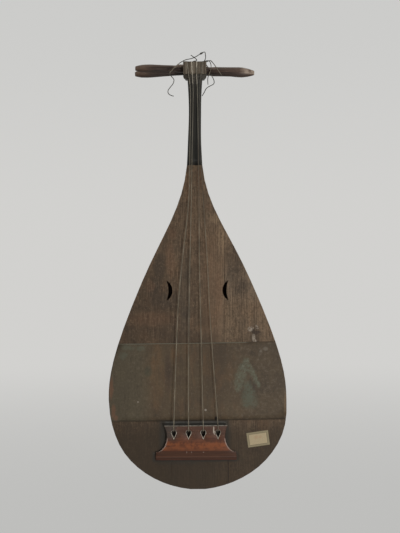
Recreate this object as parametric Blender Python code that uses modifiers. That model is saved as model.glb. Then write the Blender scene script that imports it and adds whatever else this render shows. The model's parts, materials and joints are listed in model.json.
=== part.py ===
"""A biwa: a four-string plucked lute with a pear-shaped body and a bent-back pegbox.

The instrument stands upright. X runs to the viewer's right, Y runs backward through the body
and Z runs up the neck. The belly is glued to the rim of the carved back in the plane Y = 0,
and the tail stands on Z = 0. All lengths are in metres.
"""
import math

import bmesh
import bpy
import numpy as np
from mathutils import Matrix, Vector
from mathutils.geometry import interpolate_bezier

# Clearance between pieces that touch, and the room of a turning peg in its bore
GAP = 0.0003
PEG_CLEARANCE = 0.0003

# How far a cutter reaches past the surface it cuts
CUTTER_REACH = 0.016

# Outline of the body, seen from the front
BODY_HALF_WIDTH = 0.1793
WIDEST_Z = 0.181
BODY_TOP_Z = 0.6532
JOINT_HALF_WIDTH = 0.0156
FLANK_REACH = 0.043
SHOULDER_HALF_WIDTH = 0.1096
SHOULDER_Z = 0.4195
SHOULDER_LEAN = math.radians(23.6)
SHOULDER_REACH_BELOW = 0.162
SHOULDER_REACH_ABOVE = 0.111
NECK_FLOW_REACH = 0.0846
NECK_FLOW_SPREAD = 0.0083
TAIL_FLAT_HALF_WIDTH = 0.015
TAIL_POWER_ACROSS = 1.84
TAIL_POWER_ALONG = 2.375

# Body and neck were shaped by eye: how far their middle strays to the right, as (height, x)
MIDDLE_LINE = ((0.000, 0.0), (0.055, 0.0012), (0.118, 0.0026), (0.195, 0.0005), (0.460, 0.0002),
               (0.630, -0.0019), (0.690, -0.0017), (0.770, -0.0002), (0.828, 0.0))

# Depth of the carved back and its walls
BODY_DEPTH = 0.050
TAIL_DEPTH = 0.012
JOINT_DEPTH = 0.0262
DEEPEST_FROM_Z = 0.135
DEEPEST_TO_Z = 0.195
BACK_FLAT_HALF_WIDTH = 0.025
BACK_FLAT_SHARE = 0.3
BACK_ROUNDNESS = 2.5
TAIL_ROUNDNESS = 2.6
WALL = 0.008
HOLLOW_TOP_Z = 0.600
HOLLOW_MOUTH_REACH = 0.010

# Belly boards
BELLY_THICKNESS = 0.006
BELLY_ARCH = 0.006
ARCH_FULLNESS = 3.0
SEAM_X = 0.0546
BOARD_SHIFT_X = 0.0020
WING_TIP_WIDTH = 0.0015

# Crescent sound holes and the hidden one under the bridge
CRESCENT_Z = 0.4008
CRESCENT_BULGE_X = 0.0502
CRESCENT_LENGTH = 0.0410
CRESCENT_OUTER_RISE = 0.0125
CRESCENT_INNER_RISE = 0.0042
HIDDEN_HOLE_Z = 0.109
HIDDEN_HOLE_RADIUS = 0.008

# Leather band where the plectrum strikes
BAND_LOW_Z = 0.1385
BAND_HIGH_Z = 0.2953
BAND_LEAN = math.radians(0.43)
BAND_THICKNESS = 0.0009
BAND_INSET = 0.0012

# Braces under the belly
BRACE_Z = (0.215, 0.335)
BRACE_WIDTH = 0.010
BRACE_DEPTH = 0.014
BRACE_END_DEPTH = 0.005
BRACE_SCALLOP = 0.035
BRACE_END_CLEARANCE = 0.0012

# Neck
NECK_TOP_Z = 0.8365
NECK_WAIST_DROP = 0.0755
NECK_WAIST_HALF_WIDTH = 0.01235
NECK_TOP_HALF_WIDTH = 0.0151
NECK_WAIST_DEPTH = 0.0205
NECK_TOP_DEPTH = 0.024
NECK_EDGE = 0.0012
COLLAR_STEP = 0.0022
COLLAR_HEIGHT = 0.0090
COLLAR_STRAIGHT = 0.0042
TENON_HALF_WIDTH = 0.008
TENON_LENGTH = 0.038
TENON_FRONT_Y = 0.004
TENON_BACK_Y = 0.017

# Nut
NUT_HEIGHT = 0.025
NUT_FRONT_STEP = 0.0072
NUT_BACK_Y = -0.0045
NUT_EDGE = 0.0018

# Pegbox, bent straight back from the neck
PEGBOX_HALF_WIDTH = 0.0235
PEGBOX_REAR_HALF_WIDTH = 0.0195
PEGBOX_REAR_Y = 0.118
CHEEK_RISE = 0.0270
CHEEK_REAR_RISE = 0.004
CHEEK_THICKNESS = 0.0075
PEGBOX_FLOOR = 0.0065
PEGBOX_REAR_RISE = 0.005
TROUGH_FRONT_Y = 0.008
TROUGH_END_WALL = 0.005
STRING_CHANNEL_RISE = 0.0225
PEGBOX_TENON_HALF_WIDTH = 0.006
PEGBOX_TENON_LENGTH = 0.010
PEGBOX_TENON_FRONT_Y = 0.004
PEGBOX_TENON_BACK_Y = 0.014

# Curled end of the pegbox
CURL_REACH = 0.022
CURL_RISE = 0.013
CURL_END_THICKNESS = 0.007
CURL_NARROWING = 0.35
CURL_TENON_LENGTH = 0.004
CURL_TENON_HALF_WIDTH = 0.005

# Pegs, numbered from the nut backward; odd ones point to the viewer's left. They are cut and
# fitted by hand, so each handle has its own size and tilt. A tilt lifts the outer end of a
# peg above the middle of its bores. Each bore lies a little higher than the one before it.
PEG_RISE = 0.0155
PEG_ROW_RISE = 0.0012
PEG_TILTS = (0.0100, -0.0563, -0.0353, 0.0106)
HANDLE_LENGTHS = (0.0986, 0.1005, 0.1038, 0.0985)
HANDLE_WAIST_RADII = (0.0066, 0.0084, 0.0066, 0.0077)
HANDLE_BELLY_RADII = (0.0084, 0.0104, 0.0085, 0.0093)
HANDLE_SHOULDER_SHARES = (0.92, 0.81, 0.92, 0.83)
FIRST_PEG_Y = 0.020
PEG_SPACING = 0.0275
PEG_COUNT = 4
SHAFT_RADIUS = 0.0056
SHAFT_END_RADIUS = 0.0044
SHAFT_END_REACH = 0.005
SHAFT_END_CHAMFER = 0.0009
PEG_COLLAR_RADII = (0.0086, 0.0075, 0.0067, 0.0065)
PEG_COLLAR_LENGTH = 0.0112
PEG_COLLAR_CHAMFER = 0.0009
HANDLE_NECK_LENGTH = 0.0038
HANDLE_TIP_RADIUS = 0.0055
HANDLE_END_RADIUS = 0.0042
HANDLE_BELLY_LENGTH = 0.009
HANDLE_TAPER_LENGTH = 0.025
HANDLE_SHOULDER_LENGTH = 0.013
HANDLE_END_LENGTH = 0.003
PEG_SIDES = 16

# Strings and their windings
STRING_RADII = (0.00085, 0.00075, 0.0007, 0.00065)
WINDING_X = (0.0108, 0.0108, 0.0042, 0.0042)
WINDING_TURNS = 3
WINDING_STEPS = 16
WINDING_VALLEY = 0.65
TAIL_RADIUS = 0.0008
LOOSE_END_RISE = 0.0175
TAIL_SPAN_STEPS = (3, 3, 2, 2)
SCRAP_SPAN_STEPS = 2
STRING_SPAN_STEPS = 3
NUT_STRING_X = (-0.0150, -0.0062, 0.0042, 0.0150)
NUT_FOOT_STRING_SHARE = 0.85
PEG_OF_STRING = (0, 2, 3, 1)
STRING_END_SHARE = 0.15

# How far a string stands from the middle, at shares of its way from the lip to the nut
STRING_ROUTES = (
    ((0.270, -0.0395), (0.371, -0.0352), (0.470, -0.0278), (0.642, -0.0139), (0.784, -0.0112),
     (0.948, -0.0088)),
    ((0.270, -0.0160), (0.371, -0.0144), (0.470, -0.0125), (0.642, -0.0089), (0.784, -0.0066),
     (0.948, -0.0036)),
    ((0.270, 0.0085), (0.371, 0.0072), (0.470, 0.0064), (0.642, 0.0064), (0.784, 0.0060),
     (0.948, 0.0050)),
    ((0.270, 0.0284), (0.371, 0.0250), (0.470, 0.0222), (0.642, 0.0150), (0.784, 0.0108),
     (0.948, 0.0094)),
)

# Loose string ends in the order of their pegs: (x, y, height above the first bend's level)
TAIL_ROUTES = (
    ((-0.0100, 0.0285, 0.0060), (-0.0075, 0.0290, 0.0115), (-0.0015, 0.0270, 0.0145),
     (0.0040, 0.0250, 0.0155), (0.0020, 0.0240, 0.0190), (-0.0020, 0.0230, 0.0220),
     (-0.0080, 0.0220, 0.0262)),
    ((0.0124, 0.0560, 0.0092), (0.0168, 0.0500, 0.0144), (0.0250, 0.0370, 0.0150),
     (0.0312, 0.0300, 0.0160), (0.0338, 0.0285, 0.0146), (0.0405, 0.0268, 0.0060),
     (0.0475, 0.0262, -0.0042), (0.0545, 0.0260, -0.0150)),
    ((-0.0030, 0.0832, 0.0088), (0.0020, 0.0800, 0.0140), (0.0120, 0.0710, 0.0160),
     (0.0215, 0.0670, 0.0150), (0.0285, 0.0665, 0.0050), (0.0335, 0.0650, -0.0085),
     (0.0388, 0.0590, -0.0190), (0.0388, 0.0470, -0.0290), (0.0310, 0.0340, -0.0355),
     (0.0235, 0.0235, -0.0415), (0.0192, 0.0165, -0.0500), (0.0146, 0.0130, -0.0585)),
    ((0.0050, 0.1097, 0.0104), (0.0075, 0.0990, 0.0165), (0.0130, 0.0780, 0.0190),
     (0.0195, 0.0620, 0.0200), (0.0222, 0.0500, 0.0250), (0.0216, 0.0420, 0.0325),
     (0.0205, 0.0390, 0.0350), (0.0165, 0.0345, 0.0332), (0.0095, 0.0260, 0.0280),
     (0.0030, 0.0185, 0.0226), (-0.0070, 0.0130, 0.0174), (-0.0175, 0.0100, 0.0150),
     (-0.0285, 0.0070, 0.0092), (-0.0390, 0.0035, 0.0002), (-0.0465, 0.0020, -0.0080),
     (-0.0512, 0.0010, -0.0135), (-0.0480, 0.0015, -0.0195), (-0.0422, 0.0020, -0.0270),
     (-0.0450, 0.0020, -0.0360), (-0.0520, 0.0015, -0.0445), (-0.0550, 0.0010, -0.0510),
     (-0.0518, 0.0010, -0.0570), (-0.0432, 0.0010, -0.0602)),
)

# The remains of an older string, still held by the turns on the second peg
SCRAP_SHIFT_X = -0.0014
TAIL_SHIFT_X = 0.0012
SCRAP_PEG = 1
SCRAP_ROUTE = (
    (0.0092, 0.0575, 0.0080), (0.0130, 0.0560, 0.0150), (0.0215, 0.0470, 0.0178),
    (0.0285, 0.0400, 0.0170), (0.0318, 0.0372, 0.0130), (0.0334, 0.0365, 0.0050),
    (0.0322, 0.0362, -0.0030), (0.0294, 0.0360, -0.0100), (0.0272, 0.0358, -0.0160),
    (0.0262, 0.0355, -0.0220), (0.0266, 0.0350, -0.0325),
)

# Bridge, seen from the front and in height above the belly
BRIDGE_X = -0.0031
BRIDGE_FOOT_Z = 0.0597
BRIDGE_STEP_Z = 0.0700
BRIDGE_FLANK_Z = 0.0757
BRIDGE_WAIST_Z = 0.108
BRIDGE_LIP_Z = 0.1291
BRIDGE_FOOT_HALF_WIDTH = 0.0815
BRIDGE_FLANK_HALF_WIDTH = 0.0807
BRIDGE_WAIST_HALF_WIDTH = 0.0582
BRIDGE_LIP_HALF_WIDTH = 0.0630
BRIDGE_FOOT_HEIGHT = 0.0045
BRIDGE_STEP_HEIGHT = 0.0058
BRIDGE_ROOT_HEIGHT = 0.0072
BRIDGE_SHOULDER_Z = 0.095
BRIDGE_SHOULDER_HEIGHT = 0.0112
BRIDGE_LIP_HEIGHT = 0.0160
BRIDGE_HOLLOW_Z = 0.088
BRIDGE_PLATE_THICKNESS = 0.0048
BRIDGE_EDGE = 0.0007

# Pale strip on the lip, and the teardrop eyes that hold the strings
LIP_STRIP_WIDTH = 0.0013
LIP_STRIP_DEPTH = 0.0030
EYE_SPACING = 0.0295
EYE_Z = 0.1164
EYE_RADIUS = 0.0062
EYE_POINT_REACH = 0.0150
EYE_RIM_WIDTH = 0.0011
EYE_RIM_DEPTH = 0.0036
EYE_RIM_PROUD = 0.0003
KNOT_RADIUS = 0.0016
KNOT_DEPTH = 0.0024

# How finely curved surfaces are divided
TAIL_STEPS = 13
FLANK_STEPS = 8
SECTION_STEPS = 8
RIM_SEARCH_STEPS = 400
BORE_SIDES = 24
CURL_STEPS = 8

FRONT_Y = -(GAP + BELLY_THICKNESS)
TAIL_FLAT_SHARE = (TAIL_FLAT_HALF_WIDTH / BODY_HALF_WIDTH) ** TAIL_POWER_ACROSS
TAIL_CURVE = WIDEST_Z / (1 - TAIL_FLAT_SHARE) ** (1 / TAIL_POWER_ALONG)
NECK_WAIST_Z = NECK_TOP_Z - NECK_WAIST_DROP
COLLAR_FOOT_Z = NECK_TOP_Z - COLLAR_HEIGHT
COLLAR_FULL_Z = NECK_TOP_Z - COLLAR_STRAIGHT
NUT_TOP_Z = NECK_TOP_Z + GAP + NUT_HEIGHT
NUT_FRONT_Y = FRONT_Y - NUT_FRONT_STEP
PEGBOX_BOTTOM_Z = NECK_TOP_Z + GAP
PEGBOX_FRONT_Y = NUT_BACK_Y + GAP
CHEEK_TOP_Z = NECK_TOP_Z + CHEEK_RISE
STRING_CHANNEL_Z = NECK_TOP_Z + STRING_CHANNEL_RISE
PEG_Z = NECK_TOP_Z + PEG_RISE
LOOSE_END_Z = NECK_TOP_Z + LOOSE_END_RISE


def clear_scene():
    for old in list(bpy.data.objects):
        bpy.data.objects.remove(old, do_unlink=True)


def new_collection(name):
    collection = bpy.data.collections.new(name)
    bpy.context.scene.collection.children.link(collection)
    return collection


def new_material(name, color, roughness, metallic=0.0):
    material = bpy.data.materials.new(name)
    material.use_nodes = True
    shader = material.node_tree.nodes["Principled BSDF"]
    shader.inputs["Base Color"].default_value = (*color, 1.0)
    shader.inputs["Roughness"].default_value = roughness
    shader.inputs["Metallic"].default_value = metallic
    material.diffuse_color = (*color, 1.0)
    return material


clear_scene()
PARTS = new_collection("biwa")
CUTTERS = new_collection("cutters")

BELLY_WOOD = new_material("belly_wood", (0.115, 0.080, 0.058), 0.55)
BACK_WOOD = new_material("back_wood", (0.085, 0.045, 0.028), 0.45)
DARK_WOOD = new_material("dark_wood", (0.018, 0.016, 0.016), 0.32)
NUT_WOOD = new_material("nut_wood", (0.130, 0.092, 0.065), 0.6)
PEG_WOOD = new_material("peg_wood", (0.070, 0.036, 0.025), 0.4)
BRIDGE_WOOD = new_material("bridge_wood", (0.190, 0.070, 0.042), 0.38)
LEATHER = new_material("band_leather", (0.082, 0.073, 0.050), 0.6)
BONE = new_material("bone", (0.42, 0.36, 0.28), 0.45)
SILK = new_material("silk", (0.22, 0.20, 0.16), 0.7)
SPRUCE = new_material("brace_wood", (0.36, 0.25, 0.15), 0.7)


def place(name, shape, material, collection=PARTS):
    """Turn a bmesh into a named object, shaded smooth with crisp corners."""
    bmesh.ops.recalc_face_normals(shape, faces=shape.faces)
    mesh = bpy.data.meshes.new(name)
    shape.to_mesh(mesh)
    shape.free()
    mesh.shade_smooth()
    mesh.set_sharp_from_angle(angle=math.radians(35))
    thing = bpy.data.objects.new(name, mesh)
    collection.objects.link(thing)
    if collection is CUTTERS:
        thing.hide_render = True
        thing.display_type = "WIRE"
    else:
        mesh.materials.append(material)
    return thing


def loft(name, rings, material, collection=PARTS):
    """A closed solid skinned through equally long rings, flat at both ends."""
    shape = bmesh.new()
    loops = [[shape.verts.new(point) for point in ring] for ring in rings]
    for near, far in zip(loops, loops[1:]):
        for i, corner in enumerate(near):
            j = (i + 1) % len(near)
            shape.faces.new((corner, near[j], far[j], far[i]))
    shape.faces.new(loops[0])
    shape.faces.new(loops[-1])
    return place(name, shape, material, collection)


def prism(name, outline, start, sweep, material, collection=PARTS):
    """A flat outline of points, moved to its start and extruded along the sweep."""
    shape = bmesh.new()
    face = shape.faces.new([shape.verts.new(Vector(start) + Vector(point)) for point in outline])
    grown = bmesh.ops.extrude_face_region(shape, geom=[face])
    corners = [item for item in grown["geom"] if isinstance(item, bmesh.types.BMVert)]
    bmesh.ops.translate(shape, verts=corners, vec=sweep)
    return place(name, shape, material, collection)


def block(name, low, high, material, collection=PARTS):
    """A rectangular block between two opposite corners."""
    low, high = Vector(low), Vector(high)
    shape = bmesh.new()
    size = Matrix.Diagonal((*(high - low), 1.0))
    bmesh.ops.create_cube(shape, size=1.0, matrix=Matrix.Translation((low + high) / 2) @ size)
    return place(name, shape, material, collection)


def combine(thing, other, operation):
    """Cut, join or trim a solid with another by a Boolean modifier."""
    modifier = thing.modifiers.new(other.name, "BOOLEAN")
    modifier.object = other
    modifier.operation = operation


def soften(thing, width, segments=2):
    """Round every sharp edge of a solid."""
    modifier = thing.modifiers.new("rounded_edges", "BEVEL")
    modifier.width = width
    modifier.segments = segments
    modifier.limit_method = "ANGLE"
    modifier.angle_limit = math.radians(40)


def smooth_route(points, steps):
    """Points of a smooth curve through a route: each stretch is a Bezier span."""
    knots = [Vector(point) for point in points]
    slopes = []
    for i, knot in enumerate(knots):
        before = knots[max(i - 1, 0)]
        after = knots[min(i + 1, len(knots) - 1)]
        slopes.append((after - before).normalized())
    route = [knots[0]]
    for i in range(len(knots) - 1):
        reach = (knots[i + 1] - knots[i]).length / 3
        first, last = knots[i] + slopes[i] * reach, knots[i + 1] - slopes[i + 1] * reach
        route.extend(interpolate_bezier(knots[i], first, last, knots[i + 1], steps + 1)[1:])
    return route


def tube(name, route, radius, material, collection=PARTS):
    """A round cord along a route of points, closed at both ends."""
    curve = bpy.data.curves.new(name, "CURVE")
    curve.dimensions = "3D"
    curve.bevel_depth = radius
    curve.bevel_resolution = 2
    curve.use_fill_caps = True
    spline = curve.splines.new("POLY")
    spline.points.add(len(route) - 1)
    for point, place_on_route in zip(spline.points, route):
        point.co = (*place_on_route, 1.0)
    curve.materials.append(material)
    thing = bpy.data.objects.new(name, curve)
    collection.objects.link(thing)
    return thing


def tube_cutter(name, route, radius):
    """The same cord as a welded mesh, to cut its groove with."""
    guide = tube(name + "_guide", route, radius, SILK, CUTTERS)
    bpy.context.view_layer.update()
    evaluated = guide.evaluated_get(bpy.context.evaluated_depsgraph_get())
    mesh = bpy.data.meshes.new_from_object(evaluated)
    shape = bmesh.new()
    shape.from_mesh(mesh)
    bmesh.ops.remove_doubles(shape, verts=shape.verts, dist=0.000001)
    bpy.data.objects.remove(guide, do_unlink=True)
    bpy.data.meshes.remove(mesh)
    return place(name, shape, SILK, CUTTERS)


# Shape of the body

def ease(low, high, share):
    """A value that moves smoothly from low to high."""
    return low + (high - low) * (0.5 - 0.5 * math.cos(math.pi * min(max(share, 0), 1)))


def middle_x(z):
    """Where the middle of body and neck lies at a height."""
    for (low, near), (high, far) in zip(MIDDLE_LINE, MIDDLE_LINE[1:]):
        if z < high:
            return ease(near, far, (z - low) / (high - low))
    return MIDDLE_LINE[-1][1]


def flank_points(steps):
    """Points (half-width, height) up one flank: two curves that meet at the shoulder."""
    widest = Vector((BODY_HALF_WIDTH, WIDEST_Z))
    shoulder = Vector((SHOULDER_HALF_WIDTH, SHOULDER_Z))
    joint = Vector((JOINT_HALF_WIDTH, BODY_TOP_Z))
    lean = Vector((-math.sin(SHOULDER_LEAN), math.cos(SHOULDER_LEAN)))
    rising = widest + Vector((0, FLANK_REACH))
    flowing = joint + Vector((NECK_FLOW_SPREAD, -NECK_FLOW_REACH))
    below = shoulder - lean * SHOULDER_REACH_BELOW
    above = shoulder + lean * SHOULDER_REACH_ABOVE
    lower = interpolate_bezier(widest, rising, below, shoulder, steps + 1)
    return lower + interpolate_bezier(shoulder, above, flowing, joint, steps + 1)[1:]


FINE_FLANK = flank_points(120)
FINE_WIDTHS = [point[0] for point in FINE_FLANK]
FINE_HEIGHTS = [point[1] for point in FINE_FLANK]


def half_width(z):
    """Half the width of the body at a height."""
    if z <= WIDEST_Z:
        drop = ((WIDEST_Z - z) / TAIL_CURVE) ** TAIL_POWER_ALONG
        return BODY_HALF_WIDTH * max(1 - drop, 0) ** (1 / TAIL_POWER_ACROSS)
    return float(np.interp(z, FINE_HEIGHTS, FINE_WIDTHS))


def rim_x(z, side):
    """Where the body's rim lies at a height, to one side."""
    return middle_x(z) + side * half_width(z)


def height_of_rim(x, upper):
    """The height at which the rim crosses an upright line, above or below the widest part."""
    side = 1 if x > 0 else -1
    heights = list(np.linspace(BODY_TOP_Z if upper else 0, WIDEST_Z, RIM_SEARCH_STEPS))
    return float(np.interp(side * x, [side * rim_x(z, side) for z in heights], heights))


def body_heights():
    """The heights of the body's sections, close together where the outline turns."""
    first = math.asin(math.sqrt(TAIL_FLAT_SHARE))
    turns = np.linspace(first, math.pi / 2, TAIL_STEPS + 1)
    lower = [WIDEST_Z - TAIL_CURVE * abs(math.cos(turn)) ** (2 / TAIL_POWER_ALONG) for turn in turns]
    lower[0], lower[-1] = 0.0, WIDEST_Z
    upper = [point[1] for point in flank_points(FLANK_STEPS)]
    return lower + upper[1:]


def depth(z):
    """How far the back stands behind the rim, on the centre line."""
    if z < DEEPEST_FROM_Z:
        run = 1 - max(z, 0) / DEEPEST_FROM_Z
        rise = (1 - run ** TAIL_ROUNDNESS) ** (1 / TAIL_ROUNDNESS)
        return TAIL_DEPTH + (BODY_DEPTH - TAIL_DEPTH) * rise
    if z <= DEEPEST_TO_Z:
        return BODY_DEPTH
    run = (z - DEEPEST_TO_Z) / (BODY_TOP_Z - DEEPEST_TO_Z)
    return JOINT_DEPTH + (BODY_DEPTH - JOINT_DEPTH) * (0.5 + 0.5 * math.cos(math.pi * run))


def flat_half_width(width):
    """The flat middle of the back, narrower where the body is slim."""
    return min(BACK_FLAT_HALF_WIDTH, BACK_FLAT_SHARE * width)


def back_curve(width, deep, z):
    """Points round the back at one height, from the right rim to the left."""
    flat = flat_half_width(width)
    middle = middle_x(z)
    right = []
    for turn in np.linspace(0, math.pi / 2, SECTION_STEPS + 1):
        across = math.cos(turn) ** (2 / BACK_ROUNDNESS) if turn < math.pi / 2 else 0.0
        behind = math.sin(turn) ** (2 / BACK_ROUNDNESS)
        right.append((flat + (width - flat) * across, deep * behind, z))
    both = right + [(-x, y, z) for x, y, z in reversed(right)]
    return [(middle + x, y, z) for x, y, z in both]


def hollow_half_width(z, y):
    """Half the width of the hollow inside the back, at a height and a depth."""
    width = half_width(z) - WALL
    flat = flat_half_width(width)
    share = min(y / (depth(z) - WALL), 1.0)
    return flat + (width - flat) * (1 - share ** BACK_ROUNDNESS) ** (1 / BACK_ROUNDNESS)


def arch(x, z):
    """How far the belly swells in front of its rim."""
    across = 1 - ((x - middle_x(z)) / half_width(z)) ** 2
    along = 1 - abs(2 * z / BODY_TOP_Z - 1) ** ARCH_FULLNESS
    return BELLY_ARCH * max(across, 0) * max(along, 0)


def belly_front(x, z):
    """The Y of the belly's front surface."""
    return FRONT_Y - arch(x, z)


def skin_ring(z, left, right, front, back, count):
    """A strip's section at one height: its front surface across, then its back surface."""
    places = np.linspace(left, right, count)
    ring = [(x, belly_front(x, z) - front, z) for x in places]
    return ring + [(x, belly_front(x, z) - back, z) for x in reversed(places)]


def build_back():
    """The back, carved from one block: a shallow bowl with a solid top for the neck."""
    rings = [back_curve(half_width(z), depth(z), z) for z in body_heights()]
    back = loft("back_shell", rings, BACK_WOOD)
    rings = []
    for z in body_heights():
        low, high = WALL, HOLLOW_TOP_Z
        at = low + (high - low) * z / BODY_TOP_Z
        width, deep = half_width(at) - WALL, depth(at) - WALL
        inside = back_curve(width, deep, at)
        mouth = [(middle_x(at) + x, -HOLLOW_MOUTH_REACH, at) for x in (-width, width)]
        rings.append(inside + mouth)
    combine(back, loft("hollow", rings, None, CUTTERS), "DIFFERENCE")
    middle = middle_x(BODY_TOP_Z)
    low = (middle - TENON_HALF_WIDTH - GAP, TENON_FRONT_Y - GAP, BODY_TOP_Z - TENON_LENGTH - GAP)
    high = (middle + TENON_HALF_WIDTH + GAP, TENON_BACK_Y + GAP, BODY_TOP_Z + WALL)
    combine(back, block("neck_mortise", low, high, None, CUTTERS), "DIFFERENCE")


def crescent_cutter(side):
    """A crescent moon with its horns turned to the rim, as deep as the belly and more."""
    def bow(rise):
        half = CRESCENT_LENGTH / 2
        radius = (half * half + rise * rise) / (2 * rise)
        reach = math.asin(half / radius)
        return [(radius - radius * math.cos(a), radius * math.sin(a))
                for a in np.linspace(-reach, reach, 11)]
    outer = bow(CRESCENT_OUTER_RISE)
    lag = CRESCENT_OUTER_RISE - CRESCENT_INNER_RISE
    inner = [(x + lag, z) for x, z in reversed(bow(CRESCENT_INNER_RISE))]
    outline = [(side * x, 0, z) for x, z in outer + inner[1:-1]]
    bulge = BOARD_SHIFT_X + side * CRESCENT_BULGE_X
    start = (bulge, FRONT_Y - CUTTER_REACH, CRESCENT_Z)
    name = "crescent_right" if side > 0 else "crescent_left"
    return prism(name, outline, start, (0, 2 * CUTTER_REACH, 0), None, CUTTERS)


def seam(side):
    """Where the seam between the middle board and a side board lies."""
    return side * SEAM_X + BOARD_SHIFT_X


def build_belly():
    """Three boards side by side, arched together and pierced by the sound holes."""
    levels = body_heights()
    moons = {side: crescent_cutter(side) for side in (-1, 1)}
    left, right = seam(-1) + GAP / 2, seam(1) - GAP / 2
    turns = [height_of_rim(x, upper) for x in (left, right) for upper in (False, True)]
    rings = []
    for z in sorted(levels + turns):
        ends = max(rim_x(z, -1), left), min(rim_x(z, 1), right)
        rings.append(skin_ring(z, *ends, 0, -BELLY_THICKNESS, 7))
    centre = loft("belly_centre", rings, BELLY_WOOD)
    for moon in moons.values():
        combine(centre, moon, "DIFFERENCE")
    hole = bmesh.new()
    lie_along_y = Matrix.Rotation(math.pi / 2, 4, "X")
    at = Matrix.Translation((BRIDGE_X, FRONT_Y, HIDDEN_HOLE_Z))
    bmesh.ops.create_cone(hole, cap_ends=True, segments=BORE_SIDES, radius1=HIDDEN_HOLE_RADIUS,
                          radius2=HIDDEN_HOLE_RADIUS, depth=2 * CUTTER_REACH,
                          matrix=at @ lie_along_y)
    combine(centre, place("hidden_hole", hole, None, CUTTERS), "DIFFERENCE")

    for side, name in ((-1, "belly_left"), (1, "belly_right")):
        edge = seam(side) + side * GAP / 2
        narrowest = edge + side * WING_TIP_WIDTH
        low, high = height_of_rim(narrowest, False), height_of_rim(narrowest, True)
        rings = []
        for z in [low] + [z for z in levels if low < z < high] + [high]:
            ends = sorted((edge, rim_x(z, side)))
            rings.append(skin_ring(z, *ends, 0, -BELLY_THICKNESS, 6))
        wing = loft(name, rings, BELLY_WOOD)
        combine(wing, moons[side], "DIFFERENCE")


def build_band():
    """The leather band glued across the belly under the plectrum's stroke."""
    inside = [z for z in body_heights() if BAND_LOW_Z < z < BAND_HIGH_Z]
    rings = []
    for z in [BAND_LOW_Z] + inside + [BAND_HIGH_Z]:
        places = np.linspace(rim_x(z, -1) + BAND_INSET, rim_x(z, 1) - BAND_INSET, 17)
        line = [(x, z + x * math.tan(BAND_LEAN)) for x in places]
        front = [(x, belly_front(x, up) - GAP - BAND_THICKNESS, up) for x, up in line]
        rings.append(front + [(x, belly_front(x, up) - GAP, up) for x, up in reversed(line)])
    loft("plectrum_band", rings, LEATHER)


def build_braces():
    """Two bars under the belly, thinned to their ends and let into the width of the hollow."""
    for number, z in enumerate(BRACE_Z, start=1):
        half = hollow_half_width(z + BRACE_WIDTH / 2, BRACE_END_DEPTH) - BRACE_END_CLEARANCE
        places = [-half, -half + BRACE_SCALLOP, -half / 2, 0, half / 2, half - BRACE_SCALLOP, half]
        rings = []
        for across in places:
            x = middle_x(z) + across
            deep = BRACE_END_DEPTH if abs(across) > half - BRACE_SCALLOP / 2 else BRACE_DEPTH
            front = [belly_front(x, z + step) + BELLY_THICKNESS + GAP
                     for step in (-BRACE_WIDTH / 2, BRACE_WIDTH / 2)]
            lower, upper = z - BRACE_WIDTH / 2, z + BRACE_WIDTH / 2
            rings.append([(x, front[0], lower), (x, front[1], upper),
                          (x, deep, upper), (x, deep, lower)])
        loft("belly_brace_" + str(number), rings, SPRUCE)


def neck_sizes(z):
    """Half-width and depth of the neck at a height: slimmest in the middle."""
    if z < NECK_WAIST_Z:
        share = (z - BODY_TOP_Z) / (NECK_WAIST_Z - BODY_TOP_Z)
        flow = 1 - (1 - min(max(share, 0), 1)) ** 2
        return (JOINT_HALF_WIDTH + (NECK_WAIST_HALF_WIDTH - JOINT_HALF_WIDTH) * flow,
                ease(JOINT_DEPTH, NECK_WAIST_DEPTH, share))
    share = (z - NECK_WAIST_Z) / (COLLAR_FOOT_Z - NECK_WAIST_Z)
    return (NECK_WAIST_HALF_WIDTH + (NECK_TOP_HALF_WIDTH - NECK_WAIST_HALF_WIDTH) * share ** 2,
            ease(NECK_WAIST_DEPTH, NECK_TOP_DEPTH, share))


def neck_ring(width, deep, front, z):
    """A D-shaped section: round behind, flat in front with small broken edges."""
    corners = [(-width, front + NECK_EDGE), (-width + NECK_EDGE, front),
               (width - NECK_EDGE, front), (width, front + NECK_EDGE)]
    return back_curve(width, deep, z) + [(middle_x(z) + x, y, z) for x, y in corners]


def build_neck():
    """The neck with its tenon at the foot and its collar under the nut."""
    heights = list(np.linspace(BODY_TOP_Z + GAP, COLLAR_FOOT_Z, 13))
    rings = [neck_ring(*neck_sizes(z), FRONT_Y, z) for z in heights]
    top_width, top_depth = neck_sizes(COLLAR_FOOT_Z)
    for turn in np.linspace(0, math.pi / 2, 5)[1:]:
        z = COLLAR_FOOT_Z + (COLLAR_FULL_Z - COLLAR_FOOT_Z) * (1 - math.cos(turn))
        width = top_width + (PEGBOX_HALF_WIDTH - top_width) * math.sin(turn)
        front = FRONT_Y - COLLAR_STEP * math.sin(turn)
        rings.append(neck_ring(width, top_depth, front, z))
    rings.append(neck_ring(PEGBOX_HALF_WIDTH, top_depth, FRONT_Y - COLLAR_STEP, NECK_TOP_Z))
    neck = loft("neck", rings, DARK_WOOD)
    middle = middle_x(BODY_TOP_Z)
    low = (middle - TENON_HALF_WIDTH, TENON_FRONT_Y, BODY_TOP_Z - TENON_LENGTH)
    high = (middle + TENON_HALF_WIDTH, TENON_BACK_Y, BODY_TOP_Z + WALL)
    combine(neck, block("neck_tenon", low, high, None, CUTTERS), "UNION")
    low = (-PEGBOX_TENON_HALF_WIDTH - GAP, PEGBOX_TENON_FRONT_Y - GAP,
           NECK_TOP_Z - PEGBOX_TENON_LENGTH - GAP)
    high = (PEGBOX_TENON_HALF_WIDTH + GAP, PEGBOX_TENON_BACK_Y + GAP, NECK_TOP_Z + WALL)
    combine(neck, block("pegbox_mortise", low, high, None, CUTTERS), "DIFFERENCE")


def peg_y(number):
    return FIRST_PEG_Y + PEG_SPACING * number


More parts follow.
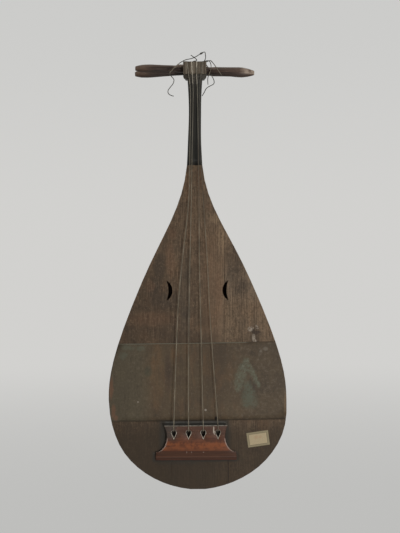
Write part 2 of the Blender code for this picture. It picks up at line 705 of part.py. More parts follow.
def cheek_half_width(y):
    """The pegbox's outer half-width, which narrows toward the rear."""
    share = (y - PEGBOX_FRONT_Y) / (PEGBOX_REAR_Y - PEGBOX_FRONT_Y)
    return PEGBOX_HALF_WIDTH + (PEGBOX_REAR_HALF_WIDTH - PEGBOX_HALF_WIDTH) * share


def shaft_radius(x, cheek):
    """The tapered peg shaft's radius at a place between its two cheeks."""
    share = (x + cheek) / (2 * cheek)
    return SHAFT_END_RADIUS + (SHAFT_RADIUS - SHAFT_END_RADIUS) * share


def peg_side(number):
    """Pegs alternate: the first points left, the next one right."""
    return -1 if number % 2 == 0 else 1


def peg_turn(number):
    """Turns a peg's own frame, whose X runs outward, to its place in the pegbox."""
    outward = Matrix.Rotation(math.pi, 3, "Z") if peg_side(number) < 0 else Matrix.Identity(3)
    return outward @ Matrix.Rotation(-PEG_TILTS[number], 3, "Y")


def on_peg(number, reach):
    """The point on a peg's axis at a reach outward from the pegbox's middle."""
    middle = Vector((0, peg_y(number), PEG_Z + PEG_ROW_RISE * number))
    return middle + peg_turn(number) @ Vector((reach, 0, 0))


def pegbox_profile(y):
    """Bottom and top of the pegbox at a depth: both rise gently toward the rear."""
    share = max((y - PEGBOX_FRONT_Y) / (PEGBOX_REAR_Y - PEGBOX_FRONT_Y), 0)
    bottom = PEGBOX_BOTTOM_Z + PEGBOX_REAR_RISE * share * share
    return bottom, CHEEK_TOP_Z + CHEEK_REAR_RISE * share * share


def box_ring(width, low, high, y):
    return [(-width, y, low), (width, y, low), (width, y, high), (-width, y, high)]


def build_pegbox():
    """A slim trough open at the top, with tapered bores for the pegs through both cheeks."""
    places = list(np.linspace(PEGBOX_FRONT_Y, PEGBOX_REAR_Y, 9))
    rings = [box_ring(cheek_half_width(y), *pegbox_profile(y), y) for y in places]
    pegbox = loft("pegbox", rings, DARK_WOOD)
    trough_end = PEGBOX_REAR_Y - TROUGH_END_WALL
    rings = []
    for y in np.linspace(TROUGH_FRONT_Y, trough_end, 9):
        width = cheek_half_width(y) - CHEEK_THICKNESS
        floor = pegbox_profile(y)[0] + PEGBOX_FLOOR
        rings.append(box_ring(width, floor, CHEEK_TOP_Z + CUTTER_REACH, y))
    combine(pegbox, loft("trough", rings, None, CUTTERS), "DIFFERENCE")
    width = cheek_half_width(TROUGH_FRONT_Y) - CHEEK_THICKNESS
    low = (-width, PEGBOX_FRONT_Y - WALL, STRING_CHANNEL_Z)
    high = (width, TROUGH_FRONT_Y + GAP, CHEEK_TOP_Z + WALL)
    combine(pegbox, block("string_channel", low, high, None, CUTTERS), "DIFFERENCE")
    for number in range(PEG_COUNT):
        cheek = cheek_half_width(peg_y(number))
        reach = cheek + WALL
        bore = bmesh.new()
        toward = peg_turn(number).to_4x4() @ Matrix.Rotation(math.pi / 2, 4, "Y")
        at = Matrix.Translation(on_peg(number, 0))
        bmesh.ops.create_cone(bore, cap_ends=True, segments=BORE_SIDES, depth=2 * reach,
                              radius1=shaft_radius(-reach, cheek) + PEG_CLEARANCE,
                              radius2=shaft_radius(reach, cheek) + PEG_CLEARANCE,
                              matrix=at @ toward)
        cutter = place("peg_bore_" + str(number + 1), bore, None, CUTTERS)
        combine(pegbox, cutter, "DIFFERENCE")
    low = (-PEGBOX_TENON_HALF_WIDTH, PEGBOX_TENON_FRONT_Y, NECK_TOP_Z - PEGBOX_TENON_LENGTH)
    high = (PEGBOX_TENON_HALF_WIDTH, PEGBOX_TENON_BACK_Y, PEGBOX_BOTTOM_Z + PEGBOX_FLOOR / 2)
    combine(pegbox, block("pegbox_tenon", low, high, None, CUTTERS), "UNION")
    bottom, top = pegbox_profile(PEGBOX_REAR_Y)
    middle = (bottom + top) / 2
    low = (-CURL_TENON_HALF_WIDTH - GAP, PEGBOX_REAR_Y - CURL_TENON_LENGTH - GAP,
           middle - CURL_TENON_HALF_WIDTH - GAP)
    high = (CURL_TENON_HALF_WIDTH + GAP, PEGBOX_REAR_Y + WALL, middle + CURL_TENON_HALF_WIDTH + GAP)
    combine(pegbox, block("curl_mortise", low, high, None, CUTTERS), "DIFFERENCE")


def build_curl():
    """The curled end of the pegbox, its own small piece of wood."""
    bottom, top = pegbox_profile(PEGBOX_REAR_Y)
    rings = []
    for share in np.linspace(0, 1, CURL_STEPS + 1):
        turn = share * math.pi / 2
        y = PEGBOX_REAR_Y + GAP + CURL_REACH * math.sin(turn)
        lift = CURL_RISE * (1 - math.cos(turn))
        thick = (top - bottom) + (CURL_END_THICKNESS - (top - bottom)) * share
        middle = (bottom + top) / 2 + lift
        lean = Vector((0, -math.sin(turn), math.cos(turn))) * thick / 2
        width = PEGBOX_REAR_HALF_WIDTH * (1 - CURL_NARROWING * share)
        low, high = Vector((0, y, middle)) - lean, Vector((0, y, middle)) + lean
        rings.append([(-width, low.y, low.z), (width, low.y, low.z),
                      (width, high.y, high.z), (-width, high.y, high.z)])
    curl = loft("pegbox_curl", rings, DARK_WOOD)
    middle = (bottom + top) / 2
    low = (-CURL_TENON_HALF_WIDTH, PEGBOX_REAR_Y - CURL_TENON_LENGTH,
           middle - CURL_TENON_HALF_WIDTH)
    high = (CURL_TENON_HALF_WIDTH, PEGBOX_REAR_Y + CURL_TENON_LENGTH, middle + CURL_TENON_HALF_WIDTH)
    combine(curl, block("curl_tenon", low, high, None, CUTTERS), "UNION")


def peg_ring(x, radius, octagon):
    """A ring round the peg's axis, from a circle (0) to a true octagon (1)."""
    ring = []
    for i in range(PEG_SIDES):
        turn = 2 * math.pi * i / PEG_SIDES
        off_corner = (turn % (math.pi / 4)) - math.pi / 8
        flat = math.cos(math.pi / 8) / math.cos(off_corner)
        reach = radius * (1 + (flat - 1) * octagon)
        ring.append((x, reach * math.cos(turn), reach * math.sin(turn)))
    return ring


def winding_radius(number):
    """Inner radius of the string's turns on a peg, just clear of the tapered shaft."""
    cheek = cheek_half_width(peg_y(number))
    string = PEG_OF_STRING.index(number)
    reach = WINDING_X[number] + WINDING_TURNS * STRING_RADII[string]
    return shaft_radius(reach, cheek) + GAP


def build_peg(number):
    """A peg and its turns of string, both on an empty that sits on the peg's axis."""
    cheek = cheek_half_width(peg_y(number))
    collar = PEG_COLLAR_RADII[number]
    lean = collar * math.sin(abs(PEG_TILTS[number]))
    seat = cheek_half_width(peg_y(number) - collar) + GAP + lean
    end = -cheek - SHAFT_END_REACH
    tip = cheek + HANDLE_LENGTHS[number]
    taper = tip - HANDLE_TAPER_LENGTH
    waist = seat + PEG_COLLAR_LENGTH + HANDLE_NECK_LENGTH
    slim, full = HANDLE_WAIST_RADII[number], HANDLE_BELLY_RADII[number]
    sections = [
        (end, SHAFT_END_RADIUS - SHAFT_END_CHAMFER, 0),
        (end + SHAFT_END_CHAMFER, SHAFT_END_RADIUS, 0),
        (-cheek, SHAFT_END_RADIUS, 0), (cheek, SHAFT_RADIUS, 0), (seat, SHAFT_RADIUS, 0),
        (seat, collar - PEG_COLLAR_CHAMFER, 0), (seat + PEG_COLLAR_CHAMFER, collar, 0),
        (seat + PEG_COLLAR_LENGTH, collar, 0), (waist, slim, 1),
        ((waist + taper) / 2, (slim + full) / 2, 1), (taper - HANDLE_BELLY_LENGTH, full, 1),
        (taper, full, 1), (tip - HANDLE_SHOULDER_LENGTH, HANDLE_SHOULDER_SHARES[number] * full, 1),
        (tip - HANDLE_END_LENGTH, HANDLE_TIP_RADIUS, 1),
        (tip, HANDLE_END_RADIUS, 1)]
    rings = [peg_ring(x, radius, octagon) for x, radius, octagon in sections]
    peg = loft("peg_" + str(number + 1), rings, PEG_WOOD)

    string = PEG_OF_STRING.index(number)
    thick = 2 * STRING_RADII[string]
    inner = winding_radius(number)
    half = WINDING_TURNS * thick / 2
    profile = [(-half, inner), (-half, inner + thick / 2)]
    for turn in range(WINDING_TURNS):
        left = -half + turn * thick
        profile += [(left + thick / 2, inner + thick), (left + thick, inner + WINDING_VALLEY * thick)]
    profile[-1] = (half, inner + thick / 2)
    profile.append((half, inner))
    shape = bmesh.new()
    corners = [shape.verts.new((x, radius, 0)) for x, radius in profile]
    edges = [shape.edges.new((corners[i - 1], corners[i])) for i in range(len(corners))]
    bmesh.ops.spin(shape, geom=corners + edges, cent=(0, 0, 0), axis=(1, 0, 0),
                   angle=2 * math.pi, steps=WINDING_STEPS, use_merge=True)
    winding = place("string_winding_" + str(number + 1), shape, SILK)

    axis = bpy.data.objects.new("peg_axis_" + str(number + 1), None)
    axis.location = on_peg(number, 0)
    axis.rotation_euler = peg_turn(number).to_euler()
    PARTS.objects.link(axis)
    peg.parent = axis
    winding.parent = axis
    winding.location = (WINDING_X[number], 0, 0)


# Bridge

def bridge_half_width(z):
    """The bridge's half-width: a straight foot, hollow flanks and a lip that spreads again."""
    if z <= BRIDGE_STEP_Z:
        return BRIDGE_FOOT_HALF_WIDTH
    if z <= BRIDGE_WAIST_Z:
        drop = (BRIDGE_WAIST_Z - z) / (BRIDGE_WAIST_Z - BRIDGE_FLANK_Z)
        sweep = math.sqrt(max(1 - drop * drop, 0))
        reach = BRIDGE_FLANK_HALF_WIDTH - BRIDGE_WAIST_HALF_WIDTH
        return BRIDGE_FLANK_HALF_WIDTH - reach * sweep
    rise = (z - BRIDGE_WAIST_Z) / (BRIDGE_LIP_Z - BRIDGE_WAIST_Z)
    return BRIDGE_WAIST_HALF_WIDTH + (BRIDGE_LIP_HALF_WIDTH - BRIDGE_WAIST_HALF_WIDTH) * rise ** 2


def bridge_top(z):
    """Height of the bridge's face above the belly."""
    heights = (BRIDGE_FOOT_Z, BRIDGE_STEP_Z, BRIDGE_FLANK_Z, BRIDGE_SHOULDER_Z, BRIDGE_LIP_Z)
    rises = (BRIDGE_FOOT_HEIGHT, BRIDGE_STEP_HEIGHT, BRIDGE_ROOT_HEIGHT,
             BRIDGE_SHOULDER_HEIGHT, BRIDGE_LIP_HEIGHT)
    return float(np.interp(z, heights, rises))


def bridge_under(z):
    """Height of the bridge's underside above the belly: it is hollow toward the neck."""
    if z <= BRIDGE_HOLLOW_Z:
        return GAP
    share = min((z - BRIDGE_HOLLOW_Z) / (BRIDGE_WAIST_Z - BRIDGE_HOLLOW_Z), 1)
    ceiling = bridge_top(z) - BRIDGE_PLATE_THICKNESS
    return GAP + (ceiling - GAP) * math.sin(share * math.pi / 2)


def bridge_ring(z, count=9):
    """The bridge's section at one height, its underside following the arched belly."""
    width = bridge_half_width(z)
    top, under = bridge_top(z), bridge_under(z)
    left, right = BRIDGE_X - width, BRIDGE_X + width
    lower = [(x, belly_front(x, z) - under, z) for x in np.linspace(left, right, count)]
    inset = np.linspace(left + BRIDGE_EDGE, right - BRIDGE_EDGE, count)
    upper = [(x, belly_front(x, z) - top, z) for x in inset]
    ends = [(x, belly_front(x, z) - top + BRIDGE_EDGE, z) for x in (right, left)]
    return lower + [ends[0]] + upper[::-1] + [ends[1]]


def eye_x(number):
    return BRIDGE_X + EYE_SPACING * (number - (PEG_COUNT - 1) / 2)


def eye_place(number):
    """Where an eye's centre lies on the bridge's face, and how the face leans there."""
    x = eye_x(number)
    surface = belly_front(x, EYE_Z) - bridge_top(EYE_Z)
    step = BRIDGE_LIP_Z - EYE_Z
    beyond = belly_front(x, BRIDGE_LIP_Z) - bridge_top(BRIDGE_LIP_Z)
    return Vector((x, surface, EYE_Z)), math.atan2(surface - beyond, step)


def teardrop(radius, reach):
    """A teardrop outline: a round top, and straight sides to a point below."""
    lean = math.asin(radius / reach)
    turns = np.linspace(-lean, math.pi + lean, 15)
    outline = [(radius * math.cos(turn), 0, radius * math.sin(turn)) for turn in turns]
    return outline + [(0, 0, -reach)]


def build_eyes(bridge):
    """Teardrop eyes through the bridge's lip, each lined with a pale rim and holding a knot."""
    share = (EYE_RADIUS - EYE_RIM_WIDTH) / EYE_RADIUS
    for number in range(PEG_COUNT):
        label = str(number + 1)
        at, lean = eye_place(number)
        front, through = (0, -CUTTER_REACH, 0), (0, 2 * CUTTER_REACH, 0)
        cutter = prism("eye_" + label, teardrop(EYE_RADIUS, EYE_POINT_REACH), front,
                       through, None, CUTTERS)
        trim = GAP / EYE_RADIUS
        rim = prism("eye_rim_" + label,
                    teardrop(EYE_RADIUS * (1 - trim), EYE_POINT_REACH * (1 - trim)),
                    (0, -EYE_RIM_PROUD, 0), (0, EYE_RIM_PROUD + EYE_RIM_DEPTH, 0), BONE)
        inside = prism("eye_inside_" + label, teardrop(EYE_RADIUS * share, EYE_POINT_REACH * share),
                       front, through, None, CUTTERS)
        for thing in (cutter, rim, inside):
            thing.location = at
            thing.rotation_euler = (lean, 0, 0)
        combine(bridge, cutter, "DIFFERENCE")
        combine(rim, inside, "DIFFERENCE")

        knot = bmesh.new()
        bmesh.ops.create_uvsphere(knot, u_segments=10, v_segments=6, radius=KNOT_RADIUS)
        thing = place("string_knot_" + label, knot, SILK)
        thing.location = knot_place(number)


def knot_place(number):
    """A knot hangs against the round top of its eye."""
    at, lean = eye_place(number)
    rise = EYE_RADIUS - EYE_RIM_WIDTH - GAP - KNOT_RADIUS
    return at + Matrix.Rotation(lean, 3, "X") @ Vector((0, KNOT_DEPTH, rise))


def build_bridge():
    """The string holder: a broad foot glued to the belly, and a lip that stands free of it."""
    heights = [BRIDGE_FOOT_Z, BRIDGE_STEP_Z, BRIDGE_STEP_Z + BRIDGE_EDGE, BRIDGE_FLANK_Z]
    for turn in np.linspace(0, math.pi / 2, 9)[1:]:
        heights.append(BRIDGE_WAIST_Z - (BRIDGE_WAIST_Z - BRIDGE_FLANK_Z) * math.cos(turn))
    heights += list(np.linspace(BRIDGE_WAIST_Z, BRIDGE_LIP_Z, 5)[1:])
    bridge = loft("bridge", [bridge_ring(z) for z in heights], BRIDGE_WOOD)
    build_eyes(bridge)
    low, high = BRIDGE_LIP_Z + GAP, BRIDGE_LIP_Z + GAP + LIP_STRIP_WIDTH
    top = BRIDGE_LIP_HEIGHT + EYE_RIM_PROUD
    rings = []
    for z in (low, high):
        rings.append(skin_ring(z, BRIDGE_X - BRIDGE_LIP_HALF_WIDTH, BRIDGE_X + BRIDGE_LIP_HALF_WIDTH,
                               top, top - LIP_STRIP_DEPTH, 9))
    loft("bridge_lip_strip", rings, BONE)


# Nut and strings

def string_route(number):
    """A string's way from its eye over the lip, up to the nut, and back to its peg."""
    radius = STRING_RADII[number]
    at, lean = eye_place(number)
    turn = Matrix.Rotation(lean, 3, "X")
    rise = EYE_RADIUS - EYE_RIM_WIDTH
    clear = EYE_RIM_PROUD + GAP + radius
    knot_top = KNOT_DEPTH - KNOT_RADIUS - GAP
    into_eye = rise - KNOT_RADIUS - GAP
    low_end = at + turn @ Vector((0, knot_top, into_eye))
    over_rim = at + turn @ Vector((0, -clear - radius, EYE_RADIUS - radius))
    bend = at + turn @ Vector((0, -EYE_RIM_PROUD, into_eye + radius / 4))
    lip_z = BRIDGE_LIP_Z + GAP + LIP_STRIP_WIDTH / 2
    lip_y = belly_front(at.x, lip_z) - BRIDGE_LIP_HEIGHT - EYE_RIM_PROUD - 2 * GAP - radius
    over_lip = Vector((at.x, lip_y, lip_z))
    route = [low_end, bend, over_rim, over_lip]

    nut_x = NUT_STRING_X[number]
    nut_low = Vector((NUT_FOOT_STRING_SHARE * nut_x, NUT_FRONT_Y - GAP - radius, NECK_TOP_Z))
    for share, x in STRING_ROUTES[number]:
        along = over_lip.lerp(nut_low, share)
        route.append(Vector((x, along.y, along.z)))
    front = NUT_FRONT_Y
    route.append(nut_low)
    route.append(Vector((nut_x, front, NUT_TOP_Z - 2 * NUT_EDGE)))
    route.append(Vector((nut_x, front + NUT_EDGE / 2, NUT_TOP_Z - NUT_EDGE / 2)))
    route.append(Vector((nut_x, front + 2 * NUT_EDGE, NUT_TOP_Z)))
    peg = PEG_OF_STRING[number]
    top = winding_radius(peg) + 2 * radius + GAP + radius
    end = on_peg(peg, WINDING_X[peg]) + Vector((0, 0, top))
    route.append(Vector((nut_x, NUT_BACK_Y, NUT_TOP_Z)).lerp(end, STRING_END_SHARE))
    route.append(end)
    return smooth_route(route, STRING_SPAN_STEPS)


def build_nut():
    """The nut: a broad block with a groove worn by each string."""
    low = (-PEGBOX_HALF_WIDTH, NUT_FRONT_Y, NECK_TOP_Z + GAP)
    high = (PEGBOX_HALF_WIDTH, NUT_BACK_Y, NUT_TOP_Z)
    nut = block("nut", low, high, NUT_WOOD)
    soften(nut, NUT_EDGE)
    for number in range(PEG_COUNT):
        groove = tube_cutter("nut_groove_" + str(number + 1), string_route(number),
                             STRING_RADII[number] + GAP)
        combine(nut, groove, "DIFFERENCE")


def build_strings():
    for number in range(PEG_COUNT):
        tube("string_" + str(number + 1), string_route(number), STRING_RADII[number], SILK)


# Loose string ends above the pegbox, each from the turns on its own peg

def behind_winding(number):
    """Just behind the turns on a peg, where a loose end leaves them."""
    string = PEG_OF_STRING.index(number)
    behind = winding_radius(number) + 2 * STRING_RADII[string] + GAP + TAIL_RADIUS
    return on_peg(number, WINDING_X[number]) + Vector((0, behind, 0))


def held_route(start, places):
    """A loose end's way from its start to its tip."""
    return [start] + [Vector((x, y, LOOSE_END_Z + rise)) for x, y, rise in places]


def build_tails():
    for number in range(PEG_COUNT):
        start = behind_winding(number)
        if number == SCRAP_PEG:
            start.x += TAIL_SHIFT_X
        route = smooth_route(held_route(start, TAIL_ROUTES[number]), TAIL_SPAN_STEPS[number])
        tube("string_tail_" + str(number + 1), route, TAIL_RADIUS, SILK)
    start = behind_winding(SCRAP_PEG) + Vector((SCRAP_SHIFT_X, 0, 0))
    route = smooth_route(held_route(start, SCRAP_ROUTE), SCRAP_SPAN_STEPS)
    tube("string_scrap", route, TAIL_RADIUS, SILK)


build_back()
build_belly()
build_band()
build_braces()
build_neck()
build_nut()
build_pegbox()
build_curl()
build_bridge()
for peg_number in range(PEG_COUNT):
    build_peg(peg_number)
build_strings()
build_tails()
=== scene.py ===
# %% [markdown]
# # An old biwa, dressed for the light
#
# The construction model gives every piece of this lute its place and size. This notebook gives
# the pieces their surfaces: dry brown boards, a worn leather band, a black neck, hand-polished
# pegs and dull silk. It begins by loading that model.

# %% Load the construction model
import json
import math

import bmesh
import bpy
from mathutils import Matrix, Vector
from mathutils.bvhtree import BVHTree
from mathutils.geometry import interpolate_bezier


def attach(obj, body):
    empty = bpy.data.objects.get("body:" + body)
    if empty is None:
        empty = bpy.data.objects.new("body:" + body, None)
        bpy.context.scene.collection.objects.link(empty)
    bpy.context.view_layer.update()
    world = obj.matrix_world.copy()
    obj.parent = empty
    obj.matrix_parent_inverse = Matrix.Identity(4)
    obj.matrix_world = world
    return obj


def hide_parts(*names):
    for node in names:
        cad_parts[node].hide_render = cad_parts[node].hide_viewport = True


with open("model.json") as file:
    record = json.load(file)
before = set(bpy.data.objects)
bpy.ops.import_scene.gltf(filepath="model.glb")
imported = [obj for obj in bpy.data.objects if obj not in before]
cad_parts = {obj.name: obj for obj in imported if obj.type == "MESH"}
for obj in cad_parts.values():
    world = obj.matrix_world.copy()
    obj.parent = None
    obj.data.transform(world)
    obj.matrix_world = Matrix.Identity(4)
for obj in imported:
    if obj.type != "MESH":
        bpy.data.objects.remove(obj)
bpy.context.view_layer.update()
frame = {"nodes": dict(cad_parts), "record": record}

nodes = frame["nodes"]
print("pieces in the model:", len(nodes))

# %% [markdown]
# ## Looking at it straight on
#
# The lute is seen from the front at 2.6 m, a long way off for a thing under a metre tall, so that
# its outline hardly suffers from perspective. It leans by less than half a degree in the picture,
# and the camera leans with it. The sweep of wall behind is nearly white, so the plain Standard
# transform keeps its tone.

# %% Camera
CAMERA_DISTANCE = 2.6
VIEW_HEIGHT = 1.0777
VIEW_CENTRE = Vector((0.0075, 0.0, 0.4489))
LEAN = math.radians(0.43)
SENSOR = 36.0

camera_data = bpy.data.cameras.new("camera")
camera_data.sensor_width = SENSOR
camera_data.lens = SENSOR * CAMERA_DISTANCE / VIEW_HEIGHT
camera = bpy.data.objects.new("camera", camera_data)
camera.location = VIEW_CENTRE - Vector((0, CAMERA_DISTANCE, 0))
camera.rotation_euler = (math.pi / 2, LEAN, 0)
bpy.context.scene.collection.objects.link(camera)
bpy.context.scene.camera = camera
bpy.context.scene.view_settings.view_transform = "Standard"
print("lens:", round(camera_data.lens, 1), "mm")

# %% [markdown]
# ## Writing shader maths as Python
#
# Old wood is a sum of many masks: grain, fibres, dirt, wear. Wiring each Math node by hand hides
# the idea, so a small class wraps a socket and turns `1 - mask * 0.5` into nodes. Any other node
# comes from one method, `node`, which takes its type, its settings and its inputs.

# %% A socket that can be added and multiplied
class Value:
    """A number on a surface. Arithmetic on it adds Math nodes."""

    def __init__(self, paint, socket):
        self.paint = paint
        self.socket = socket

    def _math(self, operation, first, second=None):
        values = {0: first} if second is None else {0: first, 1: second}
        return self.paint.node("ShaderNodeMath", {"operation": operation}, values)

    def __add__(self, other):
        return self._math("ADD", self, other)

    def __radd__(self, other):
        return self._math("ADD", other, self)

    def __sub__(self, other):
        return self._math("SUBTRACT", self, other)

    def __rsub__(self, other):
        return self._math("SUBTRACT", other, self)

    def __mul__(self, other):
        return self._math("MULTIPLY", self, other)

    def __rmul__(self, other):
        return self._math("MULTIPLY", other, self)

    def __truediv__(self, other):
        return self._math("DIVIDE", self, other)

    def __pow__(self, other):
        return self._math("POWER", self, other)

    def abs(self):
        return self._math("ABSOLUTE", self)

    def sin(self):
        return self._math("SINE", self)

    def max(self, other):
        return self._math("MAXIMUM", self, other)

    def min(self, other):
        return self._math("MINIMUM", self, other)

    def step(self, low, high):
        """0 below low, 1 above high, smooth between. With low above high it falls instead."""
        settings = {"interpolation_type": "SMOOTHSTEP", "clamp": True}
        if low < high:
            values = {"Value": self, "From Min": low, "From Max": high}
            return self.paint.node("ShaderNodeMapRange", settings, values)
        values = {"Value": self, "From Min": high, "From Max": low, "To Min": 1.0, "To Max": 0.0}
        return self.paint.node("ShaderNodeMapRange", settings, values)

    def between(self, low, high, soft):
        """1 between low and high, fading over soft on either side."""
        return self.step(low - soft, low + soft) * self.step(high + soft, high - soft)

# %% [markdown]
# `Paint` is one material being written. It starts from the object's own coordinates, so a mark on
# the belly can be placed in metres. `grain` is noise drawn out along one direction, `spots` is a
# set of soft ellipses, and `finish` feeds the shader.

# %% A material being written
class Paint:
    """One material: its nodes, its coordinates in metres and its Principled shader."""

    def __init__(self, name):
        self.material = bpy.data.materials.new(name)
        self.material.use_nodes = True
        self.tree = self.material.node_tree
        self.shader = self.tree.nodes["Principled BSDF"]
        self.shader.inputs["Specular IOR Level"].default_value = 0.14
        place = self.tree.nodes.new("ShaderNodeTexCoord")
        self.place = Value(self, place.outputs["Object"])
        self.x, self.y, self.z = self.split(self.place)

    def node(self, kind, settings=None, values=None, output=0):
        made = self.tree.nodes.new(kind)
        for key, setting in (settings or {}).items():
            setattr(made, key, setting)
        for key, value in (values or {}).items():
            self.feed(made.inputs[key], value)
        return Value(self, made.outputs[output])

    def feed(self, socket, value):
        if isinstance(value, Value):
            self.tree.links.new(value.socket, socket)
        elif isinstance(value, tuple) and len(value) == 3 and socket.type == "RGBA":
            socket.default_value = (*value, 1.0)
        else:
            socket.default_value = value

    def split(self, vector):
        parts = self.tree.nodes.new("ShaderNodeSeparateXYZ")
        self.tree.links.new(vector.socket, parts.inputs[0])
        return [Value(self, output) for output in parts.outputs]

    def vector(self, x, y, z):
        return self.node("ShaderNodeCombineXYZ", values={0: x, 1: y, 2: z})

    def noise(self, at, scale, detail=4.0, rough=0.55, warp=0.0):
        """Smooth random patches between 0 and 1."""
        values = {"Vector": at, "Scale": scale, "Detail": detail, "Roughness": rough,
                  "Distortion": warp}
        return self.node("ShaderNodeTexNoise", values=values)

    def grain(self, width, run, seed=0.0, along="z", detail=3.0, rough=0.6, warp=0.3):
        """Noise whose patches are about width across and run long along one axis."""
        sizes = [run if axis == along else width for axis in "xyz"]
        at = self.vector(self.x / sizes[0] + seed, self.y / sizes[1], self.z / sizes[2])
        return self.noise(at, 1.0, detail, rough, warp)

    def spots(self, places, ragged=0.0, soft=0.45):
        """1 inside any ellipse (x, z, half-width, half-height), with a ragged soft edge."""
        x, z = self.x, self.z
        if ragged:
            x = x + (self.noise(self.place, 90.0, 4.0, 0.7) - 0.5) * ragged
            z = z + (self.noise(self.place, 70.0, 4.0, 0.7, 1.0) - 0.5) * ragged
        mask = None
        for across, up, half_width, half_height in places:
            reach = ((x - across) / half_width) ** 2.0 + ((z - up) / half_height) ** 2.0
            inside = reach.step(1.0 + soft, 1.0 - soft)
            mask = inside if mask is None else mask.max(inside)
        return mask

    def mix(self, mask, first, second, blend="MIX"):
        made = self.tree.nodes.new("ShaderNodeMix")
        made.data_type = "RGBA"
        made.blend_type = blend
        self.feed(made.inputs[0], mask)
        self.feed(made.inputs[6], first)
        self.feed(made.inputs[7], second)
        return Value(self, made.outputs[2])

    def bump(self, height, distance, strength=1.0):
        values = {"Height": height, "Distance": distance, "Strength": strength}
        return self.node("ShaderNodeBump", values=values)

    def finish(self, color, roughness, bump=None, **fixed):
        self.feed(self.shader.inputs["Base Color"], color)
        self.feed(self.shader.inputs["Roughness"], roughness)
        if bump is not None:
            self.feed(self.shader.inputs["Normal"], bump)
        for name, value in fixed.items():
            self.shader.inputs[name.replace("_", " ")].default_value = value
        return self.material

# %% [markdown]
# ## Loose string ends
#
# Four ends of old silk curl out of the head, each from the turns on its own peg, and the remains
# of an older string hang beside the second. They are stiff with age, so they keep the bends they
# once had round a peg. The routes are those of the construction model, drawn finer.

# %% Silk
def silk(name, shade):
    """Twisted, dusty silk. The shade scales its colour: loose ends are dirtier than strings."""
    paint = Paint(name)
    x, z = paint.x, paint.z
    twist = (z * 2600.0 + x * 1500.0 + paint.y * 1500.0).sin() * 0.5 + 0.5
    grime = paint.noise(paint.place, 40.0, 4.0, 0.6)
    dull, pale = (0.120, 0.100, 0.071), (0.210, 0.180, 0.129)
    color = paint.mix(grime.step(0.35, 0.65), tuple(c * shade for c in dull),
                      tuple(c * shade for c in pale))
    color = paint.mix(z.step(0.640, 0.700) * 0.55, color, tuple(c * shade for c in (0.150, 0.142, 0.118)))
    browned = x.step(0.001, 0.003) * z.between(0.545, 0.700, 0.015)
    color = paint.mix(browned * 0.70, color, (0.070, 0.052, 0.038))
    fourth = x.between(0.0068, 0.0200, 0.0006) * z.between(0.640, 0.8300, 0.010)
    color = paint.mix(fourth * 0.80, color, (0.048, 0.044, 0.037))
    over_nut = z.between(0.8345, 0.8640, 0.0010) * paint.y.step(-0.001, -0.004)
    second = over_nut * x.between(-0.0110, -0.0020, 0.0010)
    third = over_nut * x.between(-0.0010, 0.0090, 0.0010) * z.step(0.8460, 0.8530)
    color = paint.mix(over_nut * x.step(0.010, 0.008) * 0.50, color, (0.250, 0.220, 0.175))
    color = paint.mix(second.max(third) * 0.90, color, (0.620, 0.550, 0.440))
    under_nut = z.between(0.8160, 0.8350, 0.0020) * paint.y.step(-0.001, -0.004)
    middle_pair = x.between(-0.0110, 0.0090, 0.0010)
    color = paint.mix(under_nut * middle_pair * 0.75, color, (0.360, 0.320, 0.260))
    before_pegs = z.between(0.8400, 0.8620, 0.0030) * x.abs().step(0.0210, 0.0250)
    color = paint.mix(before_pegs * 0.85, color, (0.190, 0.165, 0.122))
    return paint.finish(color, 0.65, paint.bump(twist, 0.0002, 0.5))


string_silk = silk("string_silk", 1.0)
tail_silk = silk("tail_silk", 0.38)

